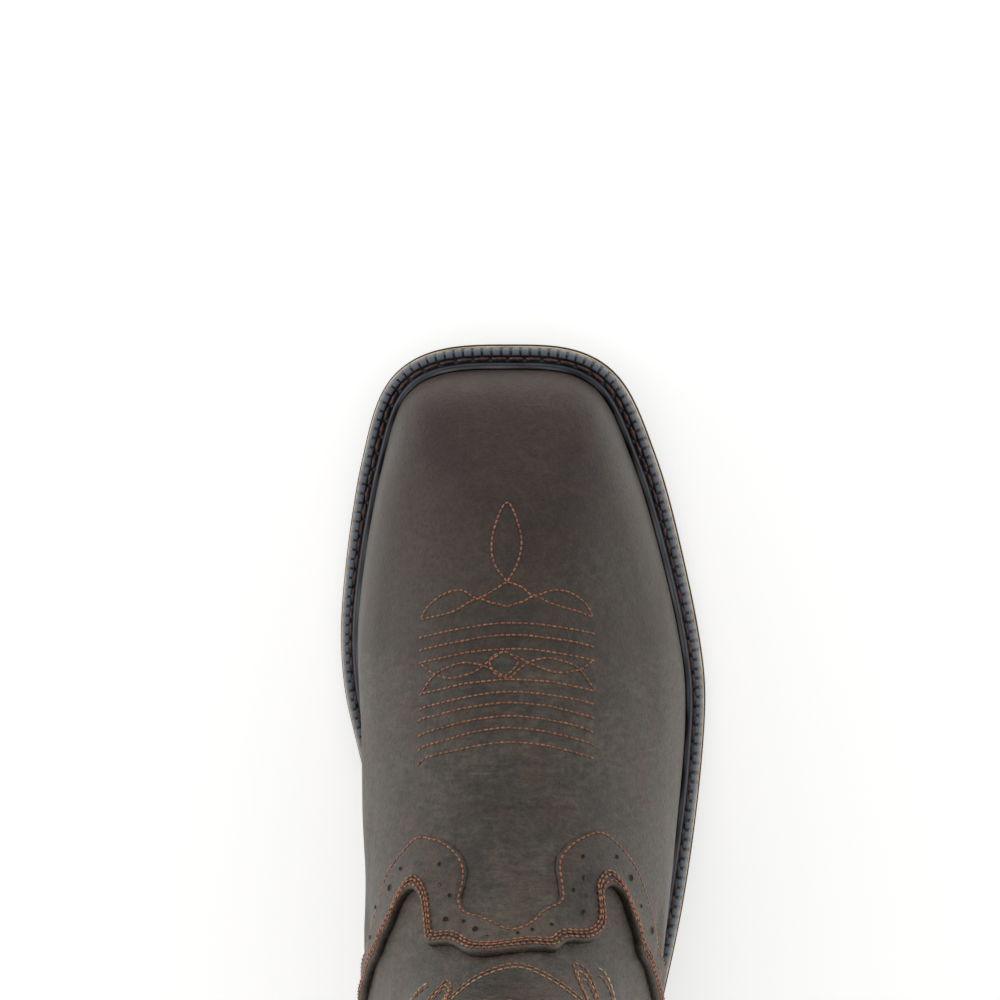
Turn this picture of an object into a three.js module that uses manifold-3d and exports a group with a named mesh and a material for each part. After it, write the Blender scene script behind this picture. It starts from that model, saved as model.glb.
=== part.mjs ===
// A right western work boot: pull-on, wide square toe, ribbed storm welt, lugged rubber sole.
// Millimetres. +X points to the toe, +Y to the inner (medial) side, +Z up.
// The origin is the middle of the heel's tread, on the floor.
import * as THREE from "three";
import { mergeVertices } from "three/addons/utils/BufferGeometryUtils.js";
import Module from "manifold-3d";

const wasm = await Module();
wasm.setup();

// Last: the feather line is where the upper meets the sole
const LAST_LENGTH = 299;
const HEEL_SETBACK = 36.6; // from the feather line's heel end to the origin
const TOE_WIDTH = 71;
const BALL_WIDTH = 104;
const WAIST_WIDTH = 77;
const HEEL_WIDTH = 69;
const TOE_BLUNTNESS = 27; // length over which the toe rounds off
const HEEL_ROUND = 35;
const INNER_OVERHANG = 15.5; // most that the upper leans out past the feather line
const OUTER_OVERHANG = 3;
const TOE_BOX_HEIGHT = 43;
const BALL_HEIGHT = 64;
const INSTEP_HEIGHT = 95;
const HEEL_BULGE = 4.2;

// Shaft
const BOOT_HEIGHT = 300;
const THROAT_DEPTH = 109;
const THROAT_WIDTH = 96;
const SHAFT_DEPTH = 128;
const SHAFT_WIDTH = 105;
const FRONT_DIP = 26; // scallop of the collar
const BACK_DIP = 20;
const WALL = 2.4;

// Sole
const HEEL_HEIGHT = 26; // floor to the outsole's underside at the heel
const HEEL_BREAST = 38; // where the heel ends, ahead of the origin
const TOE_SPRING = 11.5;
const TREAD_REAR = 150; // the forefoot is flat from here
const TREAD_FRONT = 190; // to here
const LUG_DEPTH = 3;
const OUTSOLE_THICKNESS = 4.5;
const MIDSOLE_THICKNESS = 3;
const WELT_THICKNESS = 2.8;
const INSOLE_THICKNESS = 3.5;
const WELT_REACH = 7.6; // past the feather line at the toe
const RAND_REACH = 3.2; // past the feather line round the heel
const RIB_PITCH = 3.05;
const RIB_HEIGHT = 0.9;
const RIB_LENGTH = 2.5;
const BEAD_WIDTH = 2.3;
const BEAD_HEIGHT = 2.2; // above the feather line
const LIFT_THICKNESS = 7;

// Trim
const OVERLAY_THICKNESS = 1.7;
const STRAP_WIDTH = 30;
const STRAP_THICKNESS = 2.2;
const STRAP_RISE = 21; // loop above the collar
const STRAP_LEG = 58; // sewn length outside
const PIPING_RADIUS = 1.5;
const BINDING_HEIGHT = 1.8;

const GAP = 0.3; // clearance between pieces that touch

const smooth = THREE.MathUtils.smoothstep;
const lerp = THREE.MathUtils.lerp;
const clamp = THREE.MathUtils.clamp;
const LAST_REAR = -HEEL_SETBACK;
const LAST_TIP = LAST_LENGTH - HEEL_SETBACK;

// A cubic curve through the rows of a table, read at any share along it
function spline(rows, key, value) {
  const slope = (i) => {
    const a = rows[Math.max(i - 1, 0)];
    const b = rows[Math.min(i + 1, rows.length - 1)];
    return (value(b) - value(a)) / (b[key] - a[key]);
  };
  return (at) => {
    let i = 0;
    while (i < rows.length - 2 && at > rows[i + 1][key]) i += 1;
    const span = rows[i + 1][key] - rows[i][key];
    const t = clamp((at - rows[i][key]) / span, 0, 1);
    const start = value(rows[i]);
    const end = value(rows[i + 1]);
    const bendA = slope(i) * span;
    const bendB = slope(i + 1) * span;
    return start + t * (bendA + t * (3 * (end - start) - 2 * bendA - bendB
      + t * (bendA + bendB - 2 * (end - start))));
  };
}

// Half widths of the feather line, as shares of the width named in the row
const FEATHER = [
  { along: 0.0, inner: 0.486, outer: 0.493, of: HEEL_WIDTH },
  { along: 0.12, inner: 0.493, outer: 0.507, of: HEEL_WIDTH },
  { along: 0.22, inner: 0.467, outer: 0.545, of: HEEL_WIDTH },
  { along: 0.33, inner: 0.396, outer: 0.566, of: WAIST_WIDTH },
  { along: 0.43, inner: 0.422, outer: 0.636, of: WAIST_WIDTH },
  { along: 0.52, inner: 0.365, outer: 0.506, of: BALL_WIDTH },
  { along: 0.6, inner: 0.423, outer: 0.527, of: BALL_WIDTH },
  { along: 0.66, inner: 0.46, outer: 0.531, of: BALL_WIDTH },
  { along: 0.72, inner: 0.469, outer: 0.508, of: BALL_WIDTH },
  { along: 0.79, inner: 0.45, outer: 0.463, of: BALL_WIDTH },
  { along: 0.87, inner: 0.41, outer: 0.4, of: BALL_WIDTH },
  { along: 0.95, inner: 0.522, outer: 0.468, of: TOE_WIDTH },
  { along: 1.0, inner: 0.5, outer: 0.425, of: TOE_WIDTH },
];

// How far the upper leans out past the feather line, as shares of each side's overhang
const OVERHANG = [
  { along: 0.0, inner: 0.12, outer: 0.5 },
  { along: 0.12, inner: 0.16, outer: 0.66 },
  { along: 0.22, inner: 0.4, outer: 0.85 },
  { along: 0.33, inner: 1.1, outer: 1.7 },
  { along: 0.43, inner: 0.98, outer: 1.2 },
  { along: 0.52, inner: 0.72, outer: 0.65 },
  { along: 0.6, inner: 0.33, outer: 0.35 },
  { along: 0.66, inner: 0.12, outer: 0.27 },
  { along: 0.74, inner: 0.06, outer: 0.2 },
  { along: 1.0, inner: 0.02, outer: 0.08 },
];

// Rise of the vamp's ridge over the feather line, and how square each cross-section is
const RIDGE = [
  { along: 0.0, rise: 0.65, of: INSTEP_HEIGHT, square: 2.6 },
  { along: 0.15, rise: 0.8, of: INSTEP_HEIGHT, square: 2.4 },
  { along: 0.28, rise: 1.04, of: INSTEP_HEIGHT, square: 2.1 },
  { along: 0.36, rise: 1.085, of: INSTEP_HEIGHT, square: 2.0 },
  { along: 0.4, rise: 1.0, of: INSTEP_HEIGHT, square: 2.0 },
  { along: 0.44, rise: 0.93, of: INSTEP_HEIGHT, square: 2.0 },
  { along: 0.49, rise: 0.872, of: INSTEP_HEIGHT, square: 2.0 },
  { along: 0.555, rise: 0.81, of: INSTEP_HEIGHT, square: 2.05 },
  { along: 0.62, rise: 0.744, of: INSTEP_HEIGHT, square: 2.1 },
  { along: 0.69, rise: 0.985, of: BALL_HEIGHT, square: 2.2 },
  { along: 0.755, rise: 0.89, of: BALL_HEIGHT, square: 2.3 },
  { along: 0.82, rise: 0.8, of: BALL_HEIGHT, square: 2.45 },
  { along: 0.89, rise: 1.02, of: TOE_BOX_HEIGHT, square: 2.6 },
  { along: 0.94, rise: 0.9, of: TOE_BOX_HEIGHT, square: 2.7 },
  { along: 1.0, rise: 0.78, of: TOE_BOX_HEIGHT, square: 2.8 },
];

// Level sections of the leg: reach ahead of and behind the heel's middle, and half width
const LEG = [
  { height: 0.17, ahead: 0.4, behind: 0.29, depth: THROAT_DEPTH, half: 0.29, width: THROAT_WIDTH },
  { height: 0.27, ahead: 0.62, behind: 0.34, depth: THROAT_DEPTH, half: 0.37, width: THROAT_WIDTH },
  { height: 0.35, ahead: 0.71, behind: 0.343, depth: THROAT_DEPTH, half: 0.42, width: THROAT_WIDTH },
  { height: 0.43, ahead: 0.7, behind: 0.345, depth: THROAT_DEPTH, half: 0.46, width: THROAT_WIDTH },
  { height: 0.53, ahead: 0.642, behind: 0.358, depth: THROAT_DEPTH, half: 0.5, width: THROAT_WIDTH },
  { height: 0.67, ahead: 0.54, behind: 0.34, depth: SHAFT_DEPTH, half: 0.46, width: SHAFT_WIDTH },
  { height: 0.83, ahead: 0.56, behind: 0.383, depth: SHAFT_DEPTH, half: 0.485, width: SHAFT_WIDTH },
  { height: 1.0, ahead: 0.586, behind: 0.414, depth: SHAFT_DEPTH, half: 0.5, width: SHAFT_WIDTH },
];

const FEATHER_HALF = {
  inner: spline(FEATHER, "along", (row) => row.inner * row.of),
  outer: spline(FEATHER, "along", (row) => row.outer * row.of),
};
const LEAN = {
  inner: spline(OVERHANG, "along", (row) => row.inner * INNER_OVERHANG),
  outer: spline(OVERHANG, "along", (row) => row.outer * OUTER_OVERHANG),
};
const ridgeRise = spline(RIDGE, "along", (row) => row.rise * row.of);
const squareness = spline(RIDGE, "along", (row) => row.square);
const legAhead = spline(LEG, "height", (row) => row.ahead * row.depth);
const legBehind = spline(LEG, "height", (row) => row.behind * row.depth);
const legHalf = spline(LEG, "height", (row) => row.half * row.width);

// How squarely toe and heel round off, in plan and, for the toe, in rise
const TOE_SQUARENESS = 3.4;
const HEEL_SQUARENESS = 2.15;
const TOE_RISE_SPAN = 1.26 * TOE_BLUNTNESS;
const TOE_RISE_SQUARENESS = 2.3;

// A rounded end: 0 at the very end, 1 once past its length
function endCap(distance, length, power) {
  const left = 1 - clamp(distance / length, 0, 1);
  return Math.pow(1 - Math.pow(left, power), 1 / power);
}

function bothEnds(share) {
  const toe = endCap((1 - share) * LAST_LENGTH, TOE_BLUNTNESS, TOE_SQUARENESS);
  return toe * endCap(share * LAST_LENGTH, HEEL_ROUND, HEEL_SQUARENESS);
}

function featherHalf(share, side) {
  return FEATHER_HALF[side](share) * bothEnds(share);
}

// Rise of the ridge, drawn down over the toe
function ridgeOver(share) {
  return ridgeRise(share) * endCap((1 - share) * LAST_LENGTH, TOE_RISE_SPAN, TOE_RISE_SQUARENESS);
}

const SEAT_FRONT = HEEL_BREAST - 14; // the heel seat is level behind this

// Underside of the outsole's plate: heel seat, waist, flat tread, toe spring
function soleProfile(x) {
  const seat = smooth(TREAD_REAR - x, 0, TREAD_REAR - SEAT_FRONT);
  const spring = Math.max(0, x - TREAD_FRONT) / (LAST_TIP - TREAD_FRONT);
  return LUG_DEPTH + (HEEL_HEIGHT - LUG_DEPTH) * seat + TOE_SPRING * spring * spring;
}

const MIDSOLE_BASE = OUTSOLE_THICKNESS + GAP;
const WELT_BASE = MIDSOLE_BASE + MIDSOLE_THICKNESS + GAP;
const FEATHER_BASE = WELT_BASE + WELT_THICKNESS + GAP;
const featherLevel = (x) => soleProfile(x) + FEATHER_BASE;

const BULGE_HEIGHT = 0.8 * INSTEP_HEIGHT; // of the heel's bulge, and its run forward
const LEAN_RISE = 0.34; // share of the ridge's rise over which the side leans out
const SMALLEST_SPAN = 0.5;

// The last's body: below 1 inside, above 1 outside
function footField(x, y, z) {
  const level = featherLevel(x);
  const counterBump = Math.sin(Math.PI * clamp((z - level) / BULGE_HEIGHT, 0, 1));
  const nearHeel = 1 - smooth(x, 0, BULGE_HEIGHT);
  const share = (x + HEEL_BULGE * counterBump * nearHeel - LAST_REAR) / LAST_LENGTH;
  if (share <= 0 || share >= 1) return 2;
  const side = y >= 0 ? "inner" : "outer";
  const up = Math.max(z - level, 0) / Math.max(ridgeOver(share), SMALLEST_SPAN);
  const half = featherHalf(share, side) + LEAN[side](share) * bothEnds(share) * smooth(up, 0, LEAN_RISE);
  const power = squareness(share);
  const across = Math.abs(y) / Math.max(half, SMALLEST_SPAN);
  return Math.pow(Math.pow(across, power) + Math.pow(up, power), 1 / power);
}

const LEG_SQUARENESS = 2.15;

function legField(x, y, z) {
  const share = z / BOOT_HEIGHT;
  const middle = (legAhead(share) - legBehind(share)) / 2;
  const halfDepth = (legAhead(share) + legBehind(share)) / 2;
  const lengthwise = Math.pow(Math.abs(x - middle) / halfDepth, LEG_SQUARENESS);
  const across = Math.pow(Math.abs(y) / legHalf(share), LEG_SQUARENESS);
  return Math.pow(lengthwise + across, 1 / LEG_SQUARENESS);
}

const THROAT_BLEND = 0.22;

// Foot and leg run into each other with a soft throat
function bootField(x, y, z) {
  const foot = footField(x, y, z);
  const leg = z > LEG[0].height * BOOT_HEIGHT ? legField(x, y, z) : 2;
  const near = Math.max(THROAT_BLEND - Math.abs(foot - leg), 0) / THROAT_BLEND;
  return Math.min(foot, leg) - near * near * THROAT_BLEND / 4;
}

// Rings of the upper from the feather line to the collar. Each lies on a slanting surface from
// the ridge ahead to the back seam. Foot rows: setback of the front point from the toe, as a share
// of the last's length, and height of the back point, as a share of the throat's height.
const THROAT_HEIGHT = 0.45 * BOOT_HEIGHT;
const FOOT_RINGS = [
  { setback: 0.0, back: 0.0, sag: 1.0 },
  { setback: 0.0002, back: 0.028, sag: 0.98 },
  { setback: 0.0016, back: 0.08, sag: 0.92 },
  { setback: 0.0134, back: 0.17, sag: 0.7 },
  { setback: 0.04, back: 0.25, sag: 0.48 },
  { setback: 0.087, back: 0.32, sag: 0.3 },
  { setback: 0.147, back: 0.4, sag: 0.16 },
  { setback: 0.214, back: 0.48, sag: 0.06 },
  { setback: 0.288, back: 0.56, sag: 0 },
  { setback: 0.368, back: 0.65, sag: 0 },
  { setback: 0.448, back: 0.76, sag: 0 },
  { setback: 0.512, back: 0.86, sag: 0 },
  { setback: 0.552, back: 0.93, sag: 0 },
  { setback: 0.582, back: 1.0, sag: 0 },
];
const SHAFT_RINGS = [
  { front: 0.475, back: 0.5, dip: 0 },
  { front: 0.55, back: 0.565, dip: 0.02 },
  { front: 0.64, back: 0.645, dip: 0.1 },
  { front: 0.75, back: 0.75, dip: 0.3 },
  { front: 0.87, back: 0.87, dip: 0.65 },
  { front: 1.0, back: 1.0, dip: 1.0 },
];
const TOE_POINTS = 18;
const SIDE_POINTS = 15;
const HEEL_POINTS = 12;
const RING_POINTS = TOE_POINTS + 2 * SIDE_POINTS + HEEL_POINTS;
const FOOT_FAN = 38; // radius of the rays' fan round the toe and the heel
const SHAFT_FAN = 28;
const FIRST_RELAXED_RING = 5;
const RELAX_SHARE = 0.5;
const RELAX_PASSES = 3;
const RAY_STEP = 4;
const HALVINGS = 24;

function footRing(row) {
  const frontX = LAST_TIP - row.setback * LAST_LENGTH;
  const frontZ = featherLevel(frontX) + ridgeOver(1 - row.setback);
  const backZ = lerp(featherLevel(LAST_REAR), THROAT_HEIGHT, row.back);
  return { frontX, frontZ, backX: LAST_REAR, backZ, sag: row.sag, dip: 0, fan: FOOT_FAN };
}

function shaftRing(row) {
  const frontX = legAhead(row.front);
  const frontZ = row.front * BOOT_HEIGHT;
  const backX = -legBehind(row.back);
  const backZ = row.back * BOOT_HEIGHT;
  return { frontX, frontZ, backX, backZ, sag: 0, dip: row.dip, fan: SHAFT_FAN };
}

const RINGS = [...FOOT_RINGS.map(footRing), ...SHAFT_RINGS.map(shaftRing)];

function ringSurface(ring, x) {
  const share = (x - ring.backX) / (ring.frontX - ring.backX);
  const seat = lerp(featherLevel(LAST_REAR), featherLevel(LAST_TIP), (x - LAST_REAR) / LAST_LENGTH);
  const turn = clamp(2 * share - 1, -1, 1);
  const scallop = turn > 0 ? FRONT_DIP * turn ** 3 : BACK_DIP * Math.abs(turn) ** 3;
  return lerp(ring.backZ, ring.frontZ, share) + ring.sag * (featherLevel(x) - seat) - ring.dip * scallop;
}

// Origin and direction of each ray that finds a ring's point, counted from the toe's middle
function ringRay(ring, i) {
  const front = ring.frontX - ring.fan;
  const back = ring.backX + ring.fan;
  const halfToe = TOE_POINTS / 2;
  const wrapped = i <= RING_POINTS / 2 ? i : RING_POINTS - i;
  const hand = i <= RING_POINTS / 2 ? 1 : -1;
  let angle = Math.PI / 2;
  let from = back;
  if (wrapped < halfToe) {
    angle = wrapped / halfToe * Math.PI / 2;
    from = front;
  } else if (wrapped <= halfToe + SIDE_POINTS) {
    from = lerp(front, back, (wrapped - halfToe) / SIDE_POINTS);
  } else {
    angle = Math.PI / 2 * (1 + (wrapped - halfToe - SIDE_POINTS) / (HEEL_POINTS / 2));
  }
  return { from, dx: Math.cos(angle), dy: hand * Math.sin(angle) };
}

function ringPoint(ring, i) {
  const ray = ringRay(ring, i);
  const place = (r) => {
    const x = ray.from + r * ray.dx;
    return new THREE.Vector3(x, r * ray.dy, ringSurface(ring, x));
  };
  const outside = (r) => {
    const p = place(r);
    return bootField(p.x, p.y, p.z) > 1;
  };
  let far = RAY_STEP;
  while (!outside(far) && far < LAST_LENGTH) far += RAY_STEP;
  let near = far - RAY_STEP;
  for (let step = 0; step < HALVINGS; step += 1) {
    const middle = (near + far) / 2;
    if (outside(middle)) far = middle;
    else near = middle;
  }
  return place(near);
}

// Leather doesn't follow every hollow: above the side wall each point is drawn to its neighbours
function relax(rings) {
  const last = rings.length - 1;
  return rings.map((ring, k) => ring.map((p, i) => {
    if (k < FIRST_RELAXED_RING || k === last) return p;
    const mean = rings[k - 1][i].clone().add(rings[k + 1][i]);
    mean.add(ring[(i + 1) % RING_POINTS]).add(ring[(i + RING_POINTS - 1) % RING_POINTS]);
    return p.clone().lerp(mean.divideScalar(4), RELAX_SHARE);
  }));
}

let OUTER_SKIN = RINGS.map((ring) => Array.from({ length: RING_POINTS }, (_, i) => ringPoint(ring, i)));
for (let pass = 0; pass < RELAX_PASSES; pass += 1) OUTER_SKIN = relax(OUTER_SKIN);

const SKIN_NORMALS = OUTER_SKIN.map((ring, k) => ring.map((_, i) => {
  const around = ring[(i + 1) % RING_POINTS].clone().sub(ring[(i + RING_POINTS - 1) % RING_POINTS]);
  const above = OUTER_SKIN[Math.min(k + 1, RINGS.length - 1)][i];
  const below = OUTER_SKIN[Math.max(k - 1, 0)][i];
  const normal = around.cross(above.clone().sub(below));
  if (k === 0 || k === RINGS.length - 1) normal.z = 0;
  return normal.normalize();
}));

// The skin moved outwards by a distance, negative for inwards
function skinAt(distance) {
  const moved = (p, k, i) => p.clone().addScaledVector(SKIN_NORMALS[k][i], distance);
  return OUTER_SKIN.map((ring, k) => ring.map((p, i) => moved(p, k, i)));
}

// Meshes from rows of points
class Surface {
  constructor() {
    this.points = [];
    this.faces = [];
  }

  add(point) {
    this.points.push(point);
    return this.points.length - 1;
  }

  row(points) {
    return points.map((p) => this.add(p));
  }

  triangle(a, b, c) {
    this.faces.push(a, b, c);
  }

  quad(a, b, c, d) {
    this.triangle(a, b, c);
    this.triangle(a, c, d);
  }

  // Two rows of equal length, faces on the left of the walk from row a. Flipped, the faces turn
  // over but keep the same diagonals, so that parallel skins stay parallel.
  strip(a, b, closed = false, flip = false) {
    const count = closed ? a.length : a.length - 1;
    for (let i = 0; i < count; i += 1) {
      const j = (i + 1) % a.length;
      if (flip) {
        this.triangle(a[i], b[j], a[j]);
        this.triangle(a[i], b[i], b[j]);
      } else {
        this.quad(a[i], a[j], b[j], b[i]);
      }
    }
  }

  // Two rows that start and end together but differ in length
  zip(a, b) {
    let i = 0;
    let j = 0;
    while (i < a.length - 1 || j < b.length - 1) {
      const nextA = (i + 1) / (a.length - 1);
      const nextB = (j + 1) / (b.length - 1);
      if (j >= b.length - 1 || (i < a.length - 1 && nextA <= nextB)) {
        this.triangle(a[i], a[i + 1], b[j]);
        i += 1;
      } else {
        this.triangle(a[i], b[j + 1], b[j]);
        j += 1;
      }
    }
  }

  geometry() {
    const geometry = new THREE.BufferGeometry();
    const flat = this.points.flatMap((p) => [p.x, p.y, p.z]);
    geometry.setAttribute("position", new THREE.Float32BufferAttribute(flat, 3));
    geometry.setIndex(this.faces);
    return geometry;
  }
}

// Booleans
function toManifold(geometry) {
  const bare = geometry.clone();
  bare.deleteAttribute("normal");
  bare.deleteAttribute("uv");
  const merged = mergeVertices(bare, 1e-4);
  return new wasm.Manifold(new wasm.Mesh({
    numProp: 3,
    vertProperties: new Float32Array(merged.attributes.position.array),
    triVerts: new Uint32Array(merged.index.array),
  }));
}

function fromManifold(solid) {
  const mesh = solid.getMesh();
  const geometry = new THREE.BufferGeometry();
  geometry.setAttribute("position", new THREE.Float32BufferAttribute(mesh.vertProperties, 3));
  geometry.setIndex(Array.from(mesh.triVerts));
  return geometry;
}

// A shell between two distances from the skin, from one ring to another
function skinShell(near, far, firstRing, lastRing) {
  const shell = new Surface();
  const rows = (distance) => skinAt(distance).slice(firstRing, lastRing + 1).map((ring) => shell.row(ring));
  const outside = rows(far);
  const inside = rows(near);
  for (let k = 0; k < outside.length - 1; k += 1) {
    shell.strip(outside[k], outside[k + 1], true);
    shell.strip(inside[k], inside[k + 1], true, true);
  }
  shell.strip(inside[0], outside[0], true);
  shell.strip(outside[outside.length - 1], inside[inside.length - 1], true);
  return shell.geometry();
}

// Upper: vamp and shaft in one hollow shell, open at the collar and underneath
function makeUpper() {
  return skinShell(-WALL, 0, 0, RINGS.length - 1);
}

// Outlines of the sole's layers, offset from the feather line
const OUTLINE_SAMPLES = 240;

// How far the sole stands out past the feather line
const REACH = [
  { along: 0.0, reach: 1.0, of: RAND_REACH },
  { along: 0.2, reach: 1.0, of: RAND_REACH },
  { along: 0.4, reach: 0.7, of: WELT_REACH },
  { along: 0.6, reach: 0.79, of: WELT_REACH },
  { along: 0.75, reach: 0.83, of: WELT_REACH },
  { along: 0.9, reach: 0.97, of: WELT_REACH },
  { along: 1.0, reach: 1.0, of: WELT_REACH },
];
const reachAt = spline(REACH, "along", (row) => row.reach * row.of);

function featherPath(side) {
  const hand = side === "inner" ? 1 : -1;
  const points = [];
  for (let j = 0; j <= OUTLINE_SAMPLES; j += 1) {
    const share = (1 + Math.cos(Math.PI * j / OUTLINE_SAMPLES)) / 2;
    points.push(new THREE.Vector2(LAST_REAR + share * LAST_LENGTH, hand * featherHalf(share, side)));
  }
  return points;
}

function normalsOf(path, hand) {
  return path.map((_, j) => {
    if (j === 0) return new THREE.Vector2(1, 0);
    if (j === path.length - 1) return new THREE.Vector2(-1, 0);
    const along = path[j + 1].clone().sub(path[j - 1]);
    return new THREE.Vector2(-along.y * -hand, along.x * -hand).normalize();
  });
}

const FEATHER_PATH = { inner: featherPath("inner"), outer: featherPath("outer") };
const FEATHER_NORMALS = {
  inner: normalsOf(FEATHER_PATH.inner, 1),
  outer: normalsOf(FEATHER_PATH.outer, -1),
};

function offsetPath(side, offset) {
  return FEATHER_PATH[side].map((p, j) => {
    const share = clamp((p.x - LAST_REAR) / LAST_LENGTH, 0, 1);
    return p.clone().addScaledVector(FEATHER_NORMALS[side][j], offset(share));
  });
}

function lengthsOf(path) {
  const lengths = [0];
  for (let j = 1; j < path.length; j += 1) lengths.push(lengths[j - 1] + path[j].distanceTo(path[j - 1]));
  return lengths;
}

function acrossAt(path, x) {
  for (let j = 1; j < path.length; j += 1) {
    if (path[j].x <= x) {
      const t = clamp((path[j - 1].x - x) / Math.max(path[j - 1].x - path[j].x, 1e-6), 0, 1);
      return lerp(path[j - 1].y, path[j].y, t);
    }
  }
  return path[path.length - 1].y;
}

// Pairs of edge points with one x each, from the toe to the heel or to a given end
function edgePairs(offset, count, fromX = Infinity, toX = -Infinity) {
  const inner = offsetPath("inner", offset);
  const outer = offsetPath("outer", offset);
  const lengths = lengthsOf(inner);
  const total = lengths[lengths.length - 1];
  const first = Math.max(inner.findIndex((p) => p.x < fromX), 0);
  let last = inner.findIndex((p) => p.x < toX);
  if (last < 0) last = inner.length - 1;
  const start = fromX === Infinity ? 0.012 * total : lengths[first];
  const end = toX === -Infinity ? 0.988 * total : lengths[last];
  const pairs = [];
  for (let k = 0; k <= count; k += 1) {
    const length = lerp(start, end, k / count);
    let j = 1;
    while (j < lengths.length - 1 && lengths[j] < length) j += 1;
    const t = (length - lengths[j - 1]) / (lengths[j] - lengths[j - 1]);
    const x = clamp(lerp(inner[j - 1].x, inner[j].x, t), toX, fromX);
    pairs.push({ x, inner: acrossAt(inner, x), outer: acrossAt(outer, x) });
  }
  return pairs;
}

// A slab whose levels, from the bottom up, each have their own outline and height
function slab(levels) {
  const body = new Surface();
  const rings = levels.map((level) => {
    const at = (pair, y) => new THREE.Vector3(pair.x, y, level.height(pair.x));
    const inner = level.pairs.map((pair) => at(pair, pair.inner));
    const outer = level.pairs.map((pair) => at(pair, pair.outer)).reverse();
    return body.row([...inner, ...outer]);
  });
  for (let k = 0; k < rings.length - 1; k += 1) body.strip(rings[k], rings[k + 1], true);
  const lid = (ring, up) => {
    const last = ring.length - 1;
    for (let k = 0; k < ring.length / 2 - 1; k += 1) {
      const corners = [ring[k], ring[k + 1], ring[last - k - 1], ring[last - k]];
      if (!up) corners.reverse();
      body.quad(...corners);
    }
  };
  lid(rings[0], false);
  lid(rings[rings.length - 1], true);
  return body.geometry();
}

const SOLE_STATIONS = 32;
const solePairs = (inset) => edgePairs((share) => reachAt(share) - inset, SOLE_STATIONS);

// Outsole: plate with a stepped edge, and lugs under the forefoot
function makeOutsole() {
  const plate = slab([
    { pairs: solePairs(1.4), height: soleProfile },
    { pairs: solePairs(0), height: (x) => soleProfile(x) + 1.3 },
    { pairs: solePairs(0), height: (x) => soleProfile(x) + OUTSOLE_THICKNESS - 1.2 },
    { pairs: solePairs(0.8), height: (x) => soleProfile(x) + OUTSOLE_THICKNESS },
  ]);
  let body = toManifold(plate);
  for (const corners of lugPlans()) body = body.add(toManifold(lug(corners)));
  return fromManifold(body);
}

const LUG_ROWS = 11;
const LUG_GROOVE = 2.8;
const LUG_SWEEP = 2.5; // how far a lug leans back towards the middle
const LUG_LENGTHS = [17, 12];
const BAR_CLEAR = 22; // from the middle bars' ends to the edge
const SMALLEST_BAR = 6;

// Plans of the lugs: a row round each edge and staggered bars between them
function lugPlans() {
  const plans = [];
  const rearEnd = TREAD_REAR - 28;
  const frontEnd = LAST_TIP - 6;
  const pitch = (frontEnd - rearEnd) / LUG_ROWS;
  const edge = edgePairs((share) => reachAt(share) - 1.6, 200);
  const nearer = (x) => (best, pair) => (Math.abs(pair.x - x) < Math.abs(best.x - x) ? pair : best);
  const across = (x) => edge.reduce(nearer(x));
  for (let k = 0; k < LUG_ROWS; k += 1) {
    const rear = rearEnd + k * pitch + LUG_GROOVE / 2;
    const front = rearEnd + (k + 1) * pitch - LUG_GROOVE / 2;
    for (const side of ["inner", "outer"]) {
      const hand = side === "inner" ? 1 : -1;
      const outRear = Math.abs(across(rear)[side]);
      const outFront = Math.abs(across(front)[side]);
      const deep = LUG_LENGTHS[k % 2];
      plans.push([
        [rear, hand * outRear],
        [front, hand * outFront],
        [front - LUG_SWEEP, hand * (outFront - deep)],
        [rear - LUG_SWEEP, hand * (outRear - deep)],
      ]);
    }
    const half = Math.min(across(rear).inner, -across(rear).outer) - BAR_CLEAR;
    if (half > SMALLEST_BAR) plans.push([[rear, half], [front, half / 2], [front, -half / 2], [rear, -half]]);
  }
  return plans;
}

function lug(plan) {
  const body = new Surface();
  const tread = (x) => soleProfile(x) - LUG_DEPTH;
  const root = (x) => soleProfile(x) + 1;
  const centreX = plan.reduce((sum, p) => sum + p[0], 0) / plan.length;
  const centreY = plan.reduce((sum, p) => sum + p[1], 0) / plan.length;
  const draft = 0.93;
  const at = (p, scale, z) => {
    const x = centreX + (p[0] - centreX) * scale;
    return new THREE.Vector3(x, centreY + (p[1] - centreY) * scale, z(x));
  };
  const turn = plan.reduce((sum, p, i) => {
    const q = plan[(i + 1) % plan.length];
    return sum + p[0] * q[1] - q[0] * p[1];
  }, 0);
  const ordered = turn > 0 ? plan : [...plan].reverse();
  const low = body.row(ordered.map((p) => at(p, draft, tread)));
  const high = body.row(ordered.map((p) => at(p, 1, root)));
  body.strip(low, high, true);
  body.quad(low[3], low[2], low[1], low[0]);
  body.quad(high[0], high[1], high[2], high[3]);
  return body.geometry();
}

// Midsole: thin layer between outsole and welt
function makeMidsole() {
  return slab([
    { pairs: solePairs(0.5), height: (x) => soleProfile(x) + MIDSOLE_BASE },
    { pairs: solePairs(0.5), height: (x) => soleProfile(x) + MIDSOLE_BASE + MIDSOLE_THICKNESS },
  ]);
}

// Heel block and lift, tapering to the floor
const HEEL_TAPER = 3;
const HEEL_STATIONS = 18;

function heelPairs(inset, breast) {
  return edgePairs((share) => reachAt(share) - inset, HEEL_STATIONS, breast);
}

function heelLevel(height) {
  const down = 1 - height / HEEL_HEIGHT;
  return heelPairs(0.6 + HEEL_TAPER * down, HEEL_BREAST - 5 * down);
}

function makeHeelBlock() {
  return slab([
    { pairs: heelLevel(LIFT_THICKNESS + GAP), height: () => LIFT_THICKNESS + GAP },
    { pairs: heelLevel(HEEL_HEIGHT), height: (x) => soleProfile(x) - GAP },
  ]);
}

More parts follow.
